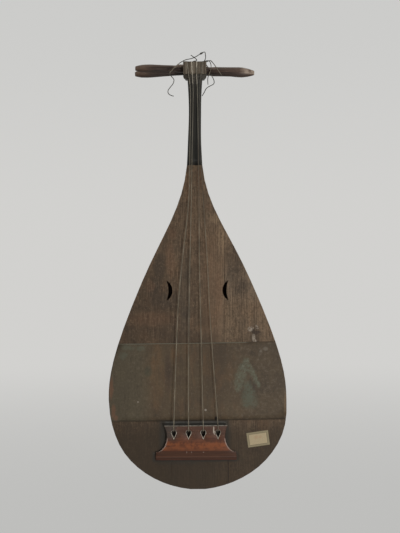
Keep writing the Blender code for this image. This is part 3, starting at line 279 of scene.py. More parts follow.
# %% Cords from peg to tip
TAIL_DIAMETER = 0.0016
KNOT_RADIUS = 0.0019
KNOT_AFTER_POINT = 8
LOOSE_ENDS = {
    "string_tail_1": (4, (
        (-0.0108, 0.0285, 0.8521), (-0.0100, 0.0285, 0.8600), (-0.0075, 0.0290, 0.8655),
        (-0.0015, 0.0270, 0.8685), (0.0040, 0.0250, 0.8695), (0.0020, 0.0240, 0.8730),
        (-0.0020, 0.0230, 0.8760), (-0.0080, 0.0220, 0.8802))),
    "string_tail_2": (4, (
        (0.0120, 0.0556, 0.8526), (0.0124, 0.0560, 0.8632), (0.0168, 0.0500, 0.8684),
        (0.0250, 0.0370, 0.8690), (0.0312, 0.0300, 0.8700), (0.0338, 0.0285, 0.8686),
        (0.0405, 0.0268, 0.8600), (0.0475, 0.0262, 0.8498), (0.0545, 0.0260, 0.8390))),
    "string_tail_3": (3, (
        (-0.0042, 0.0831, 0.8543), (-0.0030, 0.0832, 0.8628), (0.0020, 0.0800, 0.8680),
        (0.0120, 0.0710, 0.8700), (0.0215, 0.0670, 0.8690), (0.0285, 0.0665, 0.8590),
        (0.0335, 0.0650, 0.8455), (0.0388, 0.0590, 0.8350), (0.0388, 0.0470, 0.8250),
        (0.0310, 0.0340, 0.8185), (0.0235, 0.0235, 0.8125), (0.0192, 0.0165, 0.8040),
        (0.0146, 0.0130, 0.7955))),
    "string_tail_4": (2, (
        (0.0042, 0.1105, 0.8556), (0.0050, 0.1097, 0.8644), (0.0075, 0.0990, 0.8705),
        (0.0130, 0.0780, 0.8730), (0.0195, 0.0620, 0.8740), (0.0222, 0.0500, 0.8790),
        (0.0216, 0.0420, 0.8865), (0.0205, 0.0390, 0.8890), (0.0165, 0.0345, 0.8872),
        (0.0095, 0.0260, 0.8820), (0.0030, 0.0185, 0.8766), (-0.0070, 0.0130, 0.8714),
        (-0.0175, 0.0100, 0.8690), (-0.0285, 0.0070, 0.8632), (-0.0390, 0.0035, 0.8542),
        (-0.0465, 0.0020, 0.8460), (-0.0512, 0.0010, 0.8405), (-0.0480, 0.0015, 0.8345),
        (-0.0422, 0.0020, 0.8270), (-0.0450, 0.0020, 0.8180), (-0.0520, 0.0015, 0.8095),
        (-0.0550, 0.0010, 0.8030), (-0.0518, 0.0010, 0.7970), (-0.0432, 0.0010, 0.7938))),
    "string_scrap": (3, (
        (0.0094, 0.0556, 0.8526), (0.0092, 0.0575, 0.8620), (0.0130, 0.0560, 0.8690),
        (0.0215, 0.0470, 0.8718), (0.0285, 0.0400, 0.8710), (0.0318, 0.0372, 0.8670),
        (0.0334, 0.0365, 0.8590), (0.0322, 0.0362, 0.8510), (0.0294, 0.0360, 0.8440),
        (0.0272, 0.0358, 0.8380), (0.0262, 0.0355, 0.8320), (0.0266, 0.0350, 0.8215))),
}


def link(piece):
    bpy.context.scene.collection.objects.link(piece)
    return piece


def smooth_route(points, steps):
    """A smooth line through the points: each stretch is a Bezier span."""
    knots = [Vector(point) for point in points]
    slopes = [(knots[min(i + 1, len(knots) - 1)] - knots[max(i - 1, 0)]).normalized()
              for i in range(len(knots))]
    route = [knots[0]]
    for near, far, leaving, arriving in zip(knots, knots[1:], slopes, slopes[1:]):
        reach = (far - near).length / 3
        route += interpolate_bezier(near, near + leaving * reach, far - arriving * reach, far,
                                    steps + 1)[1:]
    return route


def silk_line(name, route, radius, swells=None):
    """A round line of silk along a route. Swells scale its radius point by point."""
    curve = bpy.data.curves.new(name, "CURVE")
    curve.dimensions = "3D"
    curve.bevel_depth = radius
    curve.bevel_resolution = 3
    curve.use_fill_caps = True
    spline = curve.splines.new("POLY")
    spline.points.add(len(route) - 1)
    for point, at, swell in zip(spline.points, route, swells or [1.0] * len(route)):
        point.co = (*at, 1.0)
        point.radius = swell
    curve.materials.append(tail_silk)
    piece = link(bpy.data.objects.new(name, curve))
    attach(piece, "root")
    return piece


def wrapped_knot(route):
    """Old thread bound round the fourth loose end, thickest where it comes down."""
    upper, lower = route[2 * KNOT_AFTER_POINT], route[2 * KNOT_AFTER_POINT + 2]
    swells = (0.62, 0.78, 0.90, 0.85, 1.00, 0.94, 1.08, 0.80)
    beads = [upper.lerp(lower, 0.02 + 0.10 * i) for i in range(len(swells))]
    return silk_line("wrapped_knot", beads, KNOT_RADIUS, swells)


def loose_end(name, points, steps):
    route = smooth_route(points, steps)
    piece = silk_line("silk_" + name, route, TAIL_DIAMETER / 2)
    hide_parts(name)
    held = [wrapped_knot(route)] if name == "string_tail_4" else []


for name, (steps, points) in LOOSE_ENDS.items():
    loose_end(name, points, steps)

# %% [markdown]
# ## Finishing the model's own pieces
#
# A piece of the model comes as loose triangles. Merging a copy lets its curved surfaces shade
# smoothly while real corners stay crisp. A narrow bevel breaks the sharp corners, since a corner
# that catches no light looks drawn rather than made. The copy then stands for the piece.

# %% Dress a piece of the model
def dressed(name, material, body="root", angle=40, bevel=0.0):
    """A merged, smoothly shaded copy of a model piece, with its finish."""
    source = nodes[name]
    mesh = source.data.copy()
    shape = bmesh.new()
    shape.from_mesh(mesh)
    bmesh.ops.transform(shape, matrix=source.matrix_world, verts=shape.verts)
    bmesh.ops.remove_doubles(shape, verts=shape.verts, dist=0.000002)
    bmesh.ops.recalc_face_normals(shape, faces=shape.faces)
    shape.to_mesh(mesh)
    shape.free()
    mesh.materials.clear()
    mesh.materials.append(material)
    mesh.shade_smooth()
    mesh.set_sharp_from_angle(angle=math.radians(angle))
    piece = link(bpy.data.objects.new("dressed_" + name, mesh))
    if bevel:
        modifier = piece.modifiers.new("broken_edges", "BEVEL")
        modifier.width = bevel
        modifier.segments = 2
        modifier.limit_method = "ANGLE"
        modifier.angle_limit = math.radians(angle)
    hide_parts(name)
    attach(piece, body)
    return piece

# %% [markdown]
# ## The boards of the belly
#
# Three old straight-grained boards. Growth lines 3 mm apart run up the length and fade in and
# out. Finer fibres lie over them, and patches of reddish and greyish brown under them, some in
# places of their own. Dirt has settled below the strings, and the wood darkens towards the tail.
# Round the bridge a painted shadow lies with the dirt, and a lighter grey painted shade fills the
# gap above its lip. To the right of the strings the wood has kept a warmer, lighter colour.

# %% Painted shadow and dirt round the bridge
BRIDGE_X = -0.0031
BAND_LEAN = math.tan(math.radians(0.43))


def bridge_shadow_and_dirt(paint):
    """Painted shadow, with dark never cleaned wood, round the bridge: wider above its lip and to its
    left, weaker under its foot.
    """
    across = paint.x - BRIDGE_X
    lip = across.between(-0.073, 0.068, 0.0060) * paint.z.between(0.070, 0.1395, 0.0030)
    foot = across.between(-0.088, 0.084, 0.0030) * paint.z.between(0.0555, 0.076, 0.0030)
    below = across.between(-0.080, 0.005, 0.0100) * paint.z.between(0.0500, 0.060, 0.0040)
    return lip.max(foot).max(below * 0.45)


def lip_gap_shade(paint):
    """Grey painted shade on the belly in the narrow gap above the lip, lighter than the painted shadow
    round the bridge.
    """
    across = paint.x - BRIDGE_X
    return across.between(-0.062, 0.060, 0.0040) * paint.z.between(0.1285, 0.1370, 0.0015)

# %% Belly wood
# Tone of the painted shadow round the bridge.
BRIDGE_SHADOW_TONE = (0.030, 0.027, 0.022)
# Tone of the painted shade in the gap above the lip.
GAP_SHADE_GREY = (0.068, 0.064, 0.056)
GREYED = [(-0.0650, 0.3800, 0.031, 0.015), (-0.0735, 0.4495, 0.011, 0.028),
          (-0.0840, 0.4065, 0.013, 0.020), (0.0763, 0.4543, 0.018, 0.046),
          (0.0900, 0.4065, 0.017, 0.018), (0.0060, 0.4950, 0.003, 0.012)]
REDDENED = [(-0.0530, 0.4660, 0.0090, 0.032), (-0.0890, 0.3440, 0.041, 0.014),
            (-0.0495, 0.5166, 0.0085, 0.014), (0.0450, 0.4020, 0.0090, 0.036),
            (0.0265, 0.5690, 0.0065, 0.009), (-0.0930, 0.4100, 0.0100, 0.012),
            (0.0080, 0.6200, 0.0070, 0.022)]
BLEACHED = [(0.0380, 0.5450, 0.0095, 0.0100), (0.0540, 0.4990, 0.0024, 0.024),
            (0.0470, 0.5050, 0.0020, 0.030)]


def belly_wood(name, seed, lined):
    """Old softwood. Lined says how strongly its growth lines and fibres show."""
    busy = 0.5 + 0.5 * lined
    deep, light = (0.072, 0.0490, 0.0315), (0.150, 0.1015, 0.0630)
    paint = Paint(name)
    x, z = paint.x, paint.z
    wander = paint.grain(0.020, 0.35, seed, detail=1.0)
    lines = ((x + wander * 0.007) * (2 * math.pi / 0.0030)).sin() * 0.5 + 0.5
    shown = paint.grain(0.022, 0.20, seed + 5.0, detail=2.0)
    fibre = paint.grain(0.0011, 0.030, seed, detail=4.0, rough=0.7)
    figure = paint.grain(0.011, 0.13, seed + 9.0, rough=0.65)
    patch = paint.grain(0.030, 0.050, seed + 2.0, detail=5.0, rough=0.66)
    cloud = paint.grain(0.011, 0.022, seed + 4.0, detail=4.0, rough=0.7)
    color = paint.mix(0.25 + figure.step(0.32, 0.68) * 0.5, deep, light)
    color = paint.mix(patch.step(0.48, 0.66) * 0.55, color, (0.150, 0.085, 0.046))
    color = paint.mix(patch.step(0.47, 0.32) * 0.60, color, (0.062, 0.047, 0.032))
    color = paint.mix(cloud.step(0.50, 0.66) * 0.35, color, (0.168, 0.110, 0.068))
    color = paint.mix(cloud.step(0.48, 0.34) * 0.35, color, (0.050, 0.036, 0.025))
    left_shade = x.step(-0.030, -0.080) * z.step(0.50, 0.38)
    color = paint.mix(left_shade * 0.50, color, (0.042, 0.029, 0.0195))
    left_side = x.step(-0.030, -0.048) * z.step(0.550, 0.500)
    color = paint.mix(left_side * 0.24, color, (0.032, 0.022, 0.0145))
    right_light = x.step(0.036, 0.050) * z.between(0.300, 0.540, 0.030)
    color = paint.mix(right_light * 0.34, color, (0.205, 0.142, 0.088))
    right_grey = x.step(0.050, 0.070) * z.between(0.385, 0.450, 0.020)
    color = paint.mix(right_grey * 0.35, color, (0.200, 0.152, 0.110))
    upper_light = x.between(0.004, 0.034, 0.008) * z.between(0.510, 0.625, 0.030)
    color = paint.mix(upper_light * 0.30, color, (0.200, 0.140, 0.088))
    color = paint.mix(paint.spots(GREYED, 0.022, 0.9) * 0.60, color, (0.046, 0.036, 0.027))
    color = paint.mix(paint.spots(REDDENED, 0.016, 0.9) * 0.38, color, (0.145, 0.079, 0.046))
    color = paint.mix(paint.spots(BLEACHED, 0.006, 0.8) * 0.60, color, (0.270, 0.185, 0.110))

    line_depth = lines.step(0.50, 0.95) * shown.step(0.36, 0.56) * lined
    color = paint.mix(line_depth * 0.80, color, tuple(c * 0.45 for c in deep))
    color = paint.mix(fibre.step(0.50, 0.66) * 0.60 * busy, color, tuple(c * 0.38 for c in deep))
    color = paint.mix(fibre.step(0.46, 0.34) * 0.50 * busy, color, tuple(c * 1.50 for c in light))
    mottle = paint.noise(paint.place, 210.0, 3.0, 0.75)
    color = paint.mix(mottle.step(0.48, 0.34) * 0.50 * busy, color, tuple(c * 0.50 for c in deep))
    color = paint.mix(mottle.step(0.52, 0.68) * 0.42 * busy, color, tuple(c * 1.40 for c in light))
    under_strings = x.between(-0.034, -0.013, 0.004) * z.between(0.30, 0.47, 0.045)
    color = paint.mix(under_strings * 0.32, color, (0.056, 0.049, 0.038))
    above_band = z.step(0.330, 0.300) * x.between(-0.070, 0.040, 0.020)
    color = paint.mix(above_band * 0.55, color, (0.043, 0.031, 0.0215))
    dark_patch = paint.spots([(0.0120, 0.3400, 0.0170, 0.0200)], 0.012, 0.9)
    color = paint.mix(dark_patch * 0.45, color, (0.048, 0.034, 0.0225))
    warm_board = x.between(0.014, 0.053, 0.006) * z.between(0.30, 0.50, 0.050)
    color = paint.mix(warm_board * (0.10 + figure * 0.35), color, (0.170, 0.104, 0.062))
    color = paint.mix(z.step(0.160, 0.100) * 0.78, color, (0.0335, 0.0240, 0.0155))
    # Painted shadow and dirt round the bridge.
    color = paint.mix(bridge_shadow_and_dirt(paint) * 0.80, color, BRIDGE_SHADOW_TONE)
    # Painted shade in the gap above the lip.
    color = paint.mix(lip_gap_shade(paint) * 0.90, color, GAP_SHADE_GREY)

    roughness = 0.58 + figure * 0.2
    height = fibre * 0.5 - line_depth * 0.6
    return paint, color, roughness, paint.bump(height, 0.0004, 0.45)

# %% [markdown]
# The right-hand board was chipped once and shows lighter wood in small pits, with painted shade
# in their hollows, and a drying crack runs up it from the tail.

# %% Marks on the single boards
def plain_board(name, lined):
    paint, color, rough, bump = belly_wood(name, 0.0, lined)
    return paint.finish(color, rough, bump)


def right_board():
    paint, color, rough, bump = belly_wood("belly_right_wood", 7.7, 1.0)
    crack = (paint.x - 0.0613).abs().step(0.0011, 0.0003) * paint.z.step(0.066, 0.055)
    color = paint.mix(crack * 0.8, color, (0.018, 0.012, 0.010))
    bruise = paint.spots([(0.1165, 0.3085, 0.013, 0.022)], 0.012, 0.8)
    color = paint.mix(bruise * 0.40, color, (0.045, 0.033, 0.026))
    # Painted shade in the hollows of the chips.
    chip_hollow_shade = paint.spots([(0.1183, 0.3145, 0.0050, 0.0050), (0.1140, 0.3180, 0.0030, 0.0060),
                           (0.1240, 0.3160, 0.0060, 0.0020)], 0.008)
    color = paint.mix(chip_hollow_shade * 0.65, color, (0.030, 0.021, 0.016))
    pits = paint.spots([(0.1088, 0.3228, 0.0052, 0.0046), (0.1218, 0.3258, 0.0038, 0.0040),
                        (0.1145, 0.3050, 0.0036, 0.0070), (0.1172, 0.2985, 0.0034, 0.0036)],
                       0.010, 0.6)
    flake = paint.noise(paint.place, 260.0, 4.0, 0.8)
    color = paint.mix(pits * flake.step(0.40, 0.56) * 0.80, color, (0.285, 0.240, 0.190))
    return paint.finish(color, rough, bump)


for name, material in (("belly_centre", plain_board("belly_centre_wood", 0.9)),
                       ("belly_left", plain_board("belly_left_wood", 0.4)),
                       ("belly_right", right_board())):
    piece = dressed(name, material, bevel=0.0004)
    print(name, "faces:", len(piece.data.polygons))

# %% [markdown]
# ## The back
#
# The back is carved from one block of a dark reddish hardwood and has been handled for a long
# time, so it is smoother and glossier than the belly.

# %% Back wood
def back_wood():
    paint = Paint("carved_back_wood")
    fibre = paint.grain(0.0016, 0.050, 4.0, detail=4.0, rough=0.7)
    figure = paint.grain(0.016, 0.22, 2.0, rough=0.62, warp=1.2)
    color = paint.mix(figure.step(0.34, 0.66), (0.044, 0.023, 0.015), (0.112, 0.058, 0.035))
    color = paint.mix(fibre.step(0.48, 0.64) * 0.55, color, (0.026, 0.014, 0.010))
    worn = paint.noise(paint.place, 9.0, 4.0, 0.6)
    color = paint.mix(worn.step(0.52, 0.72) * 0.35, color, (0.150, 0.086, 0.052))
    dull_rim = paint.y.step(0.020, 0.006)
    rough = 0.34 + figure * 0.2 + dull_rim * 0.40
    return paint.finish(color, rough, paint.bump(fibre, 0.0002, 0.35))


dressed("back_shell", back_wood(), angle=30)

# %% [markdown]
# ## The plectrum band
#
# Lacquered leather crosses the belly where the plectrum strikes. Its upper edge has curled a
# little, and a thin pale line is painted along it as its highlight; its lower edge is dark. The
# lacquer has worn through to a green ground on the right, and orange-brown streaks show where it
# is thin.

# %% Band leather
def band_leather():
    paint = Paint("band_leather")
    x, z = paint.x, paint.z
    up = z - x * BAND_LEAN
    cloud = paint.noise(paint.place, 16.0, 5.0, 0.6)
    speck = paint.noise(paint.place, 230.0, 4.0, 0.75)
    streak = paint.grain(0.0035, 0.040, 1.0, detail=4.0, rough=0.7)
    blotch = paint.grain(0.016, 0.050, 6.0, detail=4.0, rough=0.66)
    color = paint.mix(cloud.step(0.35, 0.65), (0.060, 0.0420, 0.0260), (0.089, 0.0630, 0.0375))
    color = paint.mix(x.step(-0.085, -0.120) * 0.70, color, (0.074, 0.0625, 0.0410))
    color = paint.mix(x.step(0.100, 0.140) * 0.25, color, (0.050, 0.0400, 0.0290))
    color = paint.mix(x.between(0.004, 0.056, 0.012) * 0.28, color, (0.044, 0.0300, 0.0190))
    color = paint.mix(blotch.step(0.50, 0.68) * x.between(-0.095, 0.085, 0.020) * 0.35, color,
                      (0.118, 0.068, 0.036))
    thin = paint.spots([(-0.0801, 0.2263, 0.0130, 0.0560), (0.0205, 0.2570, 0.0110, 0.0300),
                        (0.0654, 0.2333, 0.0130, 0.0150), (-0.0480, 0.2700, 0.0050, 0.0180)],
                       0.024, 0.9)
    color = paint.mix(thin * (0.12 + blotch.step(0.36, 0.62) * 0.36), color, (0.122, 0.068, 0.033))
    dark_strip = paint.spots([(-0.0587, 0.2335, 0.0070, 0.0380)], 0.014, 0.9)
    color = paint.mix(dark_strip * 0.55, color, (0.050, 0.033, 0.024))
    color = paint.mix(streak.step(0.50, 0.66) * 0.40, color, (0.046, 0.034, 0.024))
    color = paint.mix(speck.step(0.54, 0.66) * 0.38, color, (0.140, 0.110, 0.076))
    color = paint.mix(speck.step(0.46, 0.36) * 0.42, color, (0.036, 0.031, 0.022))
    grit = paint.noise(paint.place, 120.0, 3.0, 0.8)
    rough_side = x.step(0.040, 0.090)
    color = paint.mix(grit.step(0.52, 0.66) * rough_side * 0.35, color, (0.145, 0.116, 0.084))
    color = paint.mix(grit.step(0.46, 0.34) * rough_side * 0.40, color, (0.034, 0.028, 0.021))

    limbs = paint.spots([(0.0985, 0.2560, 0.0060, 0.0085), (0.0935, 0.2430, 0.0085, 0.0110),
                         (0.0885, 0.2280, 0.0100, 0.0150), (0.0835, 0.2120, 0.0080, 0.0130),
                         (0.0815, 0.2030, 0.0050, 0.0070), (0.1050, 0.2440, 0.0055, 0.0085),
                         (0.1115, 0.2330, 0.0065, 0.0090), (0.1175, 0.2215, 0.0045, 0.0090),
                         (0.1230, 0.2105, 0.0042, 0.0080)], 0.014, 0.95)
    foot = paint.spots([(0.1030, 0.2060, 0.0085, 0.0120), (0.1045, 0.1900, 0.0130, 0.0120),
                        (0.1050, 0.1745, 0.0155, 0.0110)], 0.018, 0.95)
    ragged = paint.noise(paint.place, 170.0, 5.0, 0.8)
    color = paint.mix(foot * ragged.step(0.32, 0.54) * 0.85, color, (0.083, 0.088, 0.0610))
    worn = limbs * ragged.step(0.32, 0.58) * 0.85
    color = paint.mix(worn, color, (0.100, 0.102, 0.070))
    color = paint.mix(worn * speck.step(0.56, 0.64) * 0.6, color, (0.190, 0.190, 0.145))
    wedge = paint.spots([(0.1075, 0.2170, 0.0030, 0.0120), (0.1140, 0.2060, 0.0030, 0.0090)],
                        0.008, 0.7)
    color = paint.mix(wedge * 0.45, color, (0.046, 0.036, 0.026))
    moss = paint.spots([(-0.098, 0.2385, 0.008, 0.010)], 0.006, 0.7)
    color = paint.mix(moss * 0.45, color, (0.046, 0.050, 0.035))
    rubbed = paint.spots([(-0.1740, 0.205, 0.0045, 0.022), (-0.1690, 0.158, 0.0045, 0.014),
                          (-0.1640, 0.145, 0.0050, 0.006)], 0.010, 0.8)
    color = paint.mix(rubbed * 0.60, color, (0.135, 0.068, 0.040))
    right_rim = paint.spots([(0.1785, 0.1720, 0.0030, 0.0260)], 0.006, 0.9)
    color = paint.mix(right_rim * 0.55, color, (0.175, 0.118, 0.068))
    bloom = paint.spots([(-0.1400, 0.2860, 0.0120, 0.0050), (-0.1130, 0.2840, 0.0090, 0.0050),
                         (-0.1480, 0.2700, 0.0070, 0.0070)], 0.022, 0.9)
    color = paint.mix(bloom * 0.40, color, (0.096, 0.102, 0.072))
    pale = paint.spots([(0.0165, 0.1600, 0.0024, 0.0022), (-0.1195, 0.1770, 0.0014, 0.0014)],
                       0.001)
    color = paint.mix(pale * 0.60, color, (0.330, 0.290, 0.240))
    chafed = paint.spots([(0.1385, 0.2820, 0.0050, 0.0040), (0.1290, 0.2770, 0.0030, 0.0025)],
                         0.005, 0.8)
    color = paint.mix(chafed * 0.35, color, (0.200, 0.175, 0.140))
    dark = paint.spots([(0.0372, 0.1428, 0.0032, 0.0044)], 0.003)
    color = paint.mix(dark * 0.85, color, (0.016, 0.013, 0.011))

    # Painted highlight: a thin pale line along the curled upper edge.
    curled_edge_highlight = up.step(0.2934, 0.2944) * x.step(0.108, 0.095)
    color = paint.mix(curled_edge_highlight * 0.55, color, (0.190, 0.185, 0.140))
    color = paint.mix(up.step(0.1425, 0.1395) * 0.60, color, (0.034, 0.027, 0.020))
    # Painted shadow and dirt round the bridge.
    color = paint.mix(bridge_shadow_and_dirt(paint) * 0.85, color, BRIDGE_SHADOW_TONE)
    # Painted shade in the gap above the lip.
    color = paint.mix(lip_gap_shade(paint) * 0.90, color, GAP_SHADE_GREY)
    return paint.finish(color, 0.50 + cloud * 0.2, paint.bump(speck * 0.5 + streak, 0.0002, 0.5))


dressed("plectrum_band", band_leather())

# %% [markdown]
# ## Neck, head and nut
#
# The neck is blackened and rubbed smooth, with a painted sheen down its right side, and painted
# light lifts the shade under the nut; the pegbox is dark brown. The nut is a pale-streaked block
# of open-grained wood, gone grey-brown, with the shadows beside its strings painted as dark lines.

# %% Dark woods
def dark_wood(name, deep, light, rough):
    """Blackened wood, browner and lighter up at the nut, partly painted light lifting the shade under it,
    with a painted sheen on its right side.
    """
    paint = Paint(name)
    fibre = paint.grain(0.0012, 0.030, 1.0, detail=4.0)
    broad = paint.grain(0.006, 0.120, 2.0)
    color = paint.mix(broad.step(0.35, 0.70), deep, light)
    # Browner and lighter from here up: partly the wood's colour, partly painted light lifting the shade
    # under the nut.
    color = paint.mix(paint.z.step(0.812, 0.829) * 0.85, color, (0.078, 0.069, 0.055))
    left_corner = paint.z.between(0.822, 0.838, 0.003) * paint.x.step(-0.0085, -0.0100)
    color = paint.mix(left_corner * 0.70, color, (0.034, 0.029, 0.022))
    # Painted sheen: the right side is a lighter grey.
    color = paint.mix(paint.x.step(0.0045, 0.0065) * 0.40, color, (0.046, 0.045, 0.039))
    return paint.finish(color, rough + fibre * 0.2, paint.bump(fibre, 0.0001, 0.4))


neck_wood = dark_wood("neck_wood", (0.012, 0.0115, 0.0095), (0.031, 0.029, 0.024), 0.46)
dressed("neck", neck_wood, angle=30)
pegbox_wood = dark_wood("pegbox_wood", (0.020, 0.014, 0.011), (0.058, 0.040, 0.029), 0.42)
dressed("pegbox", pegbox_wood, bevel=0.0006)
dressed("pegbox_curl", pegbox_wood, bevel=0.0006)

# %% Nut wood
NUT_PALE_LINES = (-0.0172, 0.0156, -0.0030)
# Painted shadows of the strings on the nut, as dark lines beside them.
NUT_SHADOW_LINES = (-0.0107, 0.0014, 0.0196, -0.0210)


def nut_wood():
    paint = Paint("nut_wood")
    fibre = paint.grain(0.0010, 0.020, 3.0, detail=4.0, rough=0.7)
    stripe = paint.grain(0.0050, 0.080, 5.0, detail=2.0)
    color = paint.mix(stripe.step(0.38, 0.62), (0.100, 0.080, 0.058), (0.140, 0.113, 0.081))
    color = paint.mix(fibre.step(0.50, 0.64) * 0.45, color, (0.050, 0.038, 0.028))
    for pale in NUT_PALE_LINES:
        line = (paint.x - pale).abs().step(0.0013, 0.0004)
        color = paint.mix(line * 0.60, color, (0.230, 0.195, 0.150))
    # Painted shadows beside the strings.
    for dark in NUT_SHADOW_LINES:
        line = (paint.x - dark).abs().step(0.0015, 0.0004)
        color = paint.mix(line * 0.60, color, (0.040, 0.030, 0.022))
    return paint.finish(color, 0.6, paint.bump(fibre, 0.0002, 0.5))


dressed("nut", nut_wood(), angle=50)

# %% [markdown]
# ## Pegs
#
# Hand-cut handles with eight faces. The wood is nearly black in the middle where fingers and dust
# have darkened it, and rubbed lighter at the tips. Each tip carries a painted highlight, the tops
# are painted lighter and the undersides and roots darker, as light and shade.

# %% Peg wood
# For each peg: its side, how bright its tip is with its painted highlight, and how much painted light
# lifts its root.
PEG_LOOKS = ((-1, 0.10, 1.00), (1, 0.95, 0.70), (-1, 0.10, 0.10), (1, 0.95, 0.80))


def peg_wood(name, joint, side, bright_tip, pale_root):
    """A handle's wood. Its tip is rubbed lighter with a painted highlight, its top painted lighter, its
    underside and root painted darker.
    """
    paint = Paint(name)
    along = paint.x * side
    axis = joint["axis"]
    rise = paint.z - joint["pos_m"][2] - paint.x * (axis[2] / axis[0])
    fibre = paint.grain(0.0011, 0.030, 2.0, along="x", detail=4.0)
    figure = paint.grain(0.0045, 0.060, 7.0, along="x", warp=0.8)
    color = paint.mix(figure.step(0.34, 0.68), (0.026, 0.0165, 0.0120), (0.080, 0.048, 0.034))
    color = paint.mix(fibre.step(0.50, 0.65) * 0.45, color, (0.014, 0.010, 0.008))
    worn = paint.noise(paint.place, 60.0, 3.0, 0.6)
    color = paint.mix(along.step(0.080, 0.106) * (0.20 + worn * 0.35), color, (0.120, 0.066, 0.039))
    color = paint.mix(along.step(0.060, 0.090) * bright_tip * 0.35, color, (0.115, 0.070, 0.050))
    # Painted highlight on the upper side of the tip.
    tip_highlight = along.step(0.090, 0.106) * worn.step(0.26, 0.46) * bright_tip
    color = paint.mix(tip_highlight * rise.step(-0.0050, -0.0015), color, (0.370, 0.290, 0.225))
    root = along.step(0.046, 0.040)
    # Painted shade: the root, next to the pegbox, is darker.
    color = paint.mix(root * (0.60 - pale_root * 0.30), color, (0.022, 0.017, 0.013))
    # Painted light: the top is lighter, most at a pale root.
    color = paint.mix(rise.step(0.0005, 0.0060) * (0.30 + root * pale_root * 0.60), color,
                      (0.165, 0.116, 0.086))
    color = paint.mix(root * rise.step(0.0, 0.0030) * pale_root * 0.50, color,
                      (0.165, 0.120, 0.092))
    # Painted shade: the underside is darker.
    color = paint.mix(rise.step(-0.0010, -0.0065) * 0.50, color, (0.017, 0.012, 0.009))
    return paint.finish(color, 0.32 + fibre * 0.25, paint.bump(fibre, 0.0001, 0.4))


peg_joints = frame["record"]["behaviour"]["joints"]
for number, looks in enumerate(PEG_LOOKS, start=1):
    label = str(number)
    wood = peg_wood("peg_wood_" + label, peg_joints[number - 1], *looks)
    dressed("peg_" + label, wood, "peg_" + label, angle=22, bevel=0.0005)

# %% [markdown]
# ## Bridge
#
# Red-brown hardwood, grain across. Dust dulls the face above and to the left of the eyes. Below
# them a bright orange-red band is painted, partly clean red wood and partly highlight, then it is
# scratched and dark at the step, the foot's bottom edge is painted dark as shade, and the edges of
# the hollow flanks are pale. The bone strip on the lip and the rims of the eyes are yellowed.

# %% Bridge wood
FLANK_TOP_Z, FLANK_FOOT_Z = 0.108, 0.0757
WAIST_HALF, FLANK_HALF = 0.0582, 0.0807


def bridge_wood():
    paint = Paint("bridge_wood")
    x, z = paint.x, paint.z
    across = x - BRIDGE_X
    fibre = paint.grain(0.0010, 0.030, 2.0, along="x", detail=4.0, rough=0.7)
    figure = paint.grain(0.0040, 0.060, 4.0, along="x", detail=3.0)
    patch = paint.noise(paint.place, 28.0, 4.0, 0.6)
    color = paint.mix(figure.step(0.35, 0.65), (0.066, 0.024, 0.013), (0.118, 0.043, 0.021))
    # A bright orange-red band below the eyes: partly the clean wood's colour, partly a painted highlight.
    glow = z.between(0.0805, 0.0970, 0.0055)
    blot = paint.noise(paint.place, 95.0, 4.0, 0.7)
    color = paint.mix(glow * (0.22 + blot.step(0.40, 0.60) * 0.55), color, (0.220, 0.068, 0.024))
    color = paint.mix(z.step(0.088, 0.096) * blot.step(0.52, 0.36) * 0.45, color,
                      (0.046, 0.021, 0.013))
    color = paint.mix(fibre.step(0.50, 0.66) * 0.40, color, (0.050, 0.018, 0.013))
    dull = z.step(0.1000, 0.1160)
    color = paint.mix(dull * (0.35 + figure * 0.5), color, (0.054, 0.030, 0.020))
    dust = across.step(-0.030, -0.048) * z.step(0.096, 0.110) * (0.4 + patch * 0.6)
    color = paint.mix(dust, color, (0.054, 0.045, 0.037))
    fleck = paint.noise(paint.place, 320.0, 3.0, 0.7)
    color = paint.mix(dull * fleck.step(0.56, 0.66) * 0.7, color, (0.150, 0.075, 0.048))
    scratched = z.between(0.0668, 0.0785, 0.0014)
    color = paint.mix(scratched * 0.75, color, (0.044, 0.021, 0.0125))
    nicks = paint.spots([(-0.0219, 0.0758, 0.0007, 0.0020), (-0.0124, 0.0757, 0.0006, 0.0016),
                         (0.0118, 0.0756, 0.0012, 0.0009)], 0.0, 0.9)
    color = paint.mix(nicks * 0.50, color, (0.330, 0.240, 0.205))
    color = paint.mix(z.step(0.0670, 0.0660) * 0.75, color, (0.036, 0.0185, 0.0120))
    color = paint.mix(z.between(0.0655, 0.0667, 0.0004) * 0.35, color, (0.150, 0.090, 0.070))
    # Painted shade along the foot's bottom edge, where it meets the belly.
    color = paint.mix(z.step(0.0612, 0.0602) * 0.7, color, (0.060, 0.018, 0.014))
    drip = paint.spots([(0.0322, 0.1215, 0.0013, 0.0070), (0.0335, 0.1160, 0.0010, 0.0040)], 0.002)
    color = paint.mix(drip * 0.75, color, (0.420, 0.360, 0.290))
    drop = ((FLANK_TOP_Z - z) / (FLANK_TOP_Z - FLANK_FOOT_Z)).max(0.0).min(1.0)
    flank = FLANK_HALF - (1.0 - drop * drop).max(0.0) ** 0.5 * (FLANK_HALF - WAIST_HALF)
    edge = (across.abs() - flank).step(-0.0020, -0.0009) * z.between(0.0765, 0.104, 0.0020)
    color = paint.mix(edge * 0.80, color, (0.350, 0.255, 0.208))
    return paint.finish(color, 0.40 + fibre * 0.2, paint.bump(fibre, 0.00015, 0.4))


dressed("bridge", bridge_wood(), bevel=0.0003)

# %% Bone strip and eye rims
EYE_Z = 0.1164


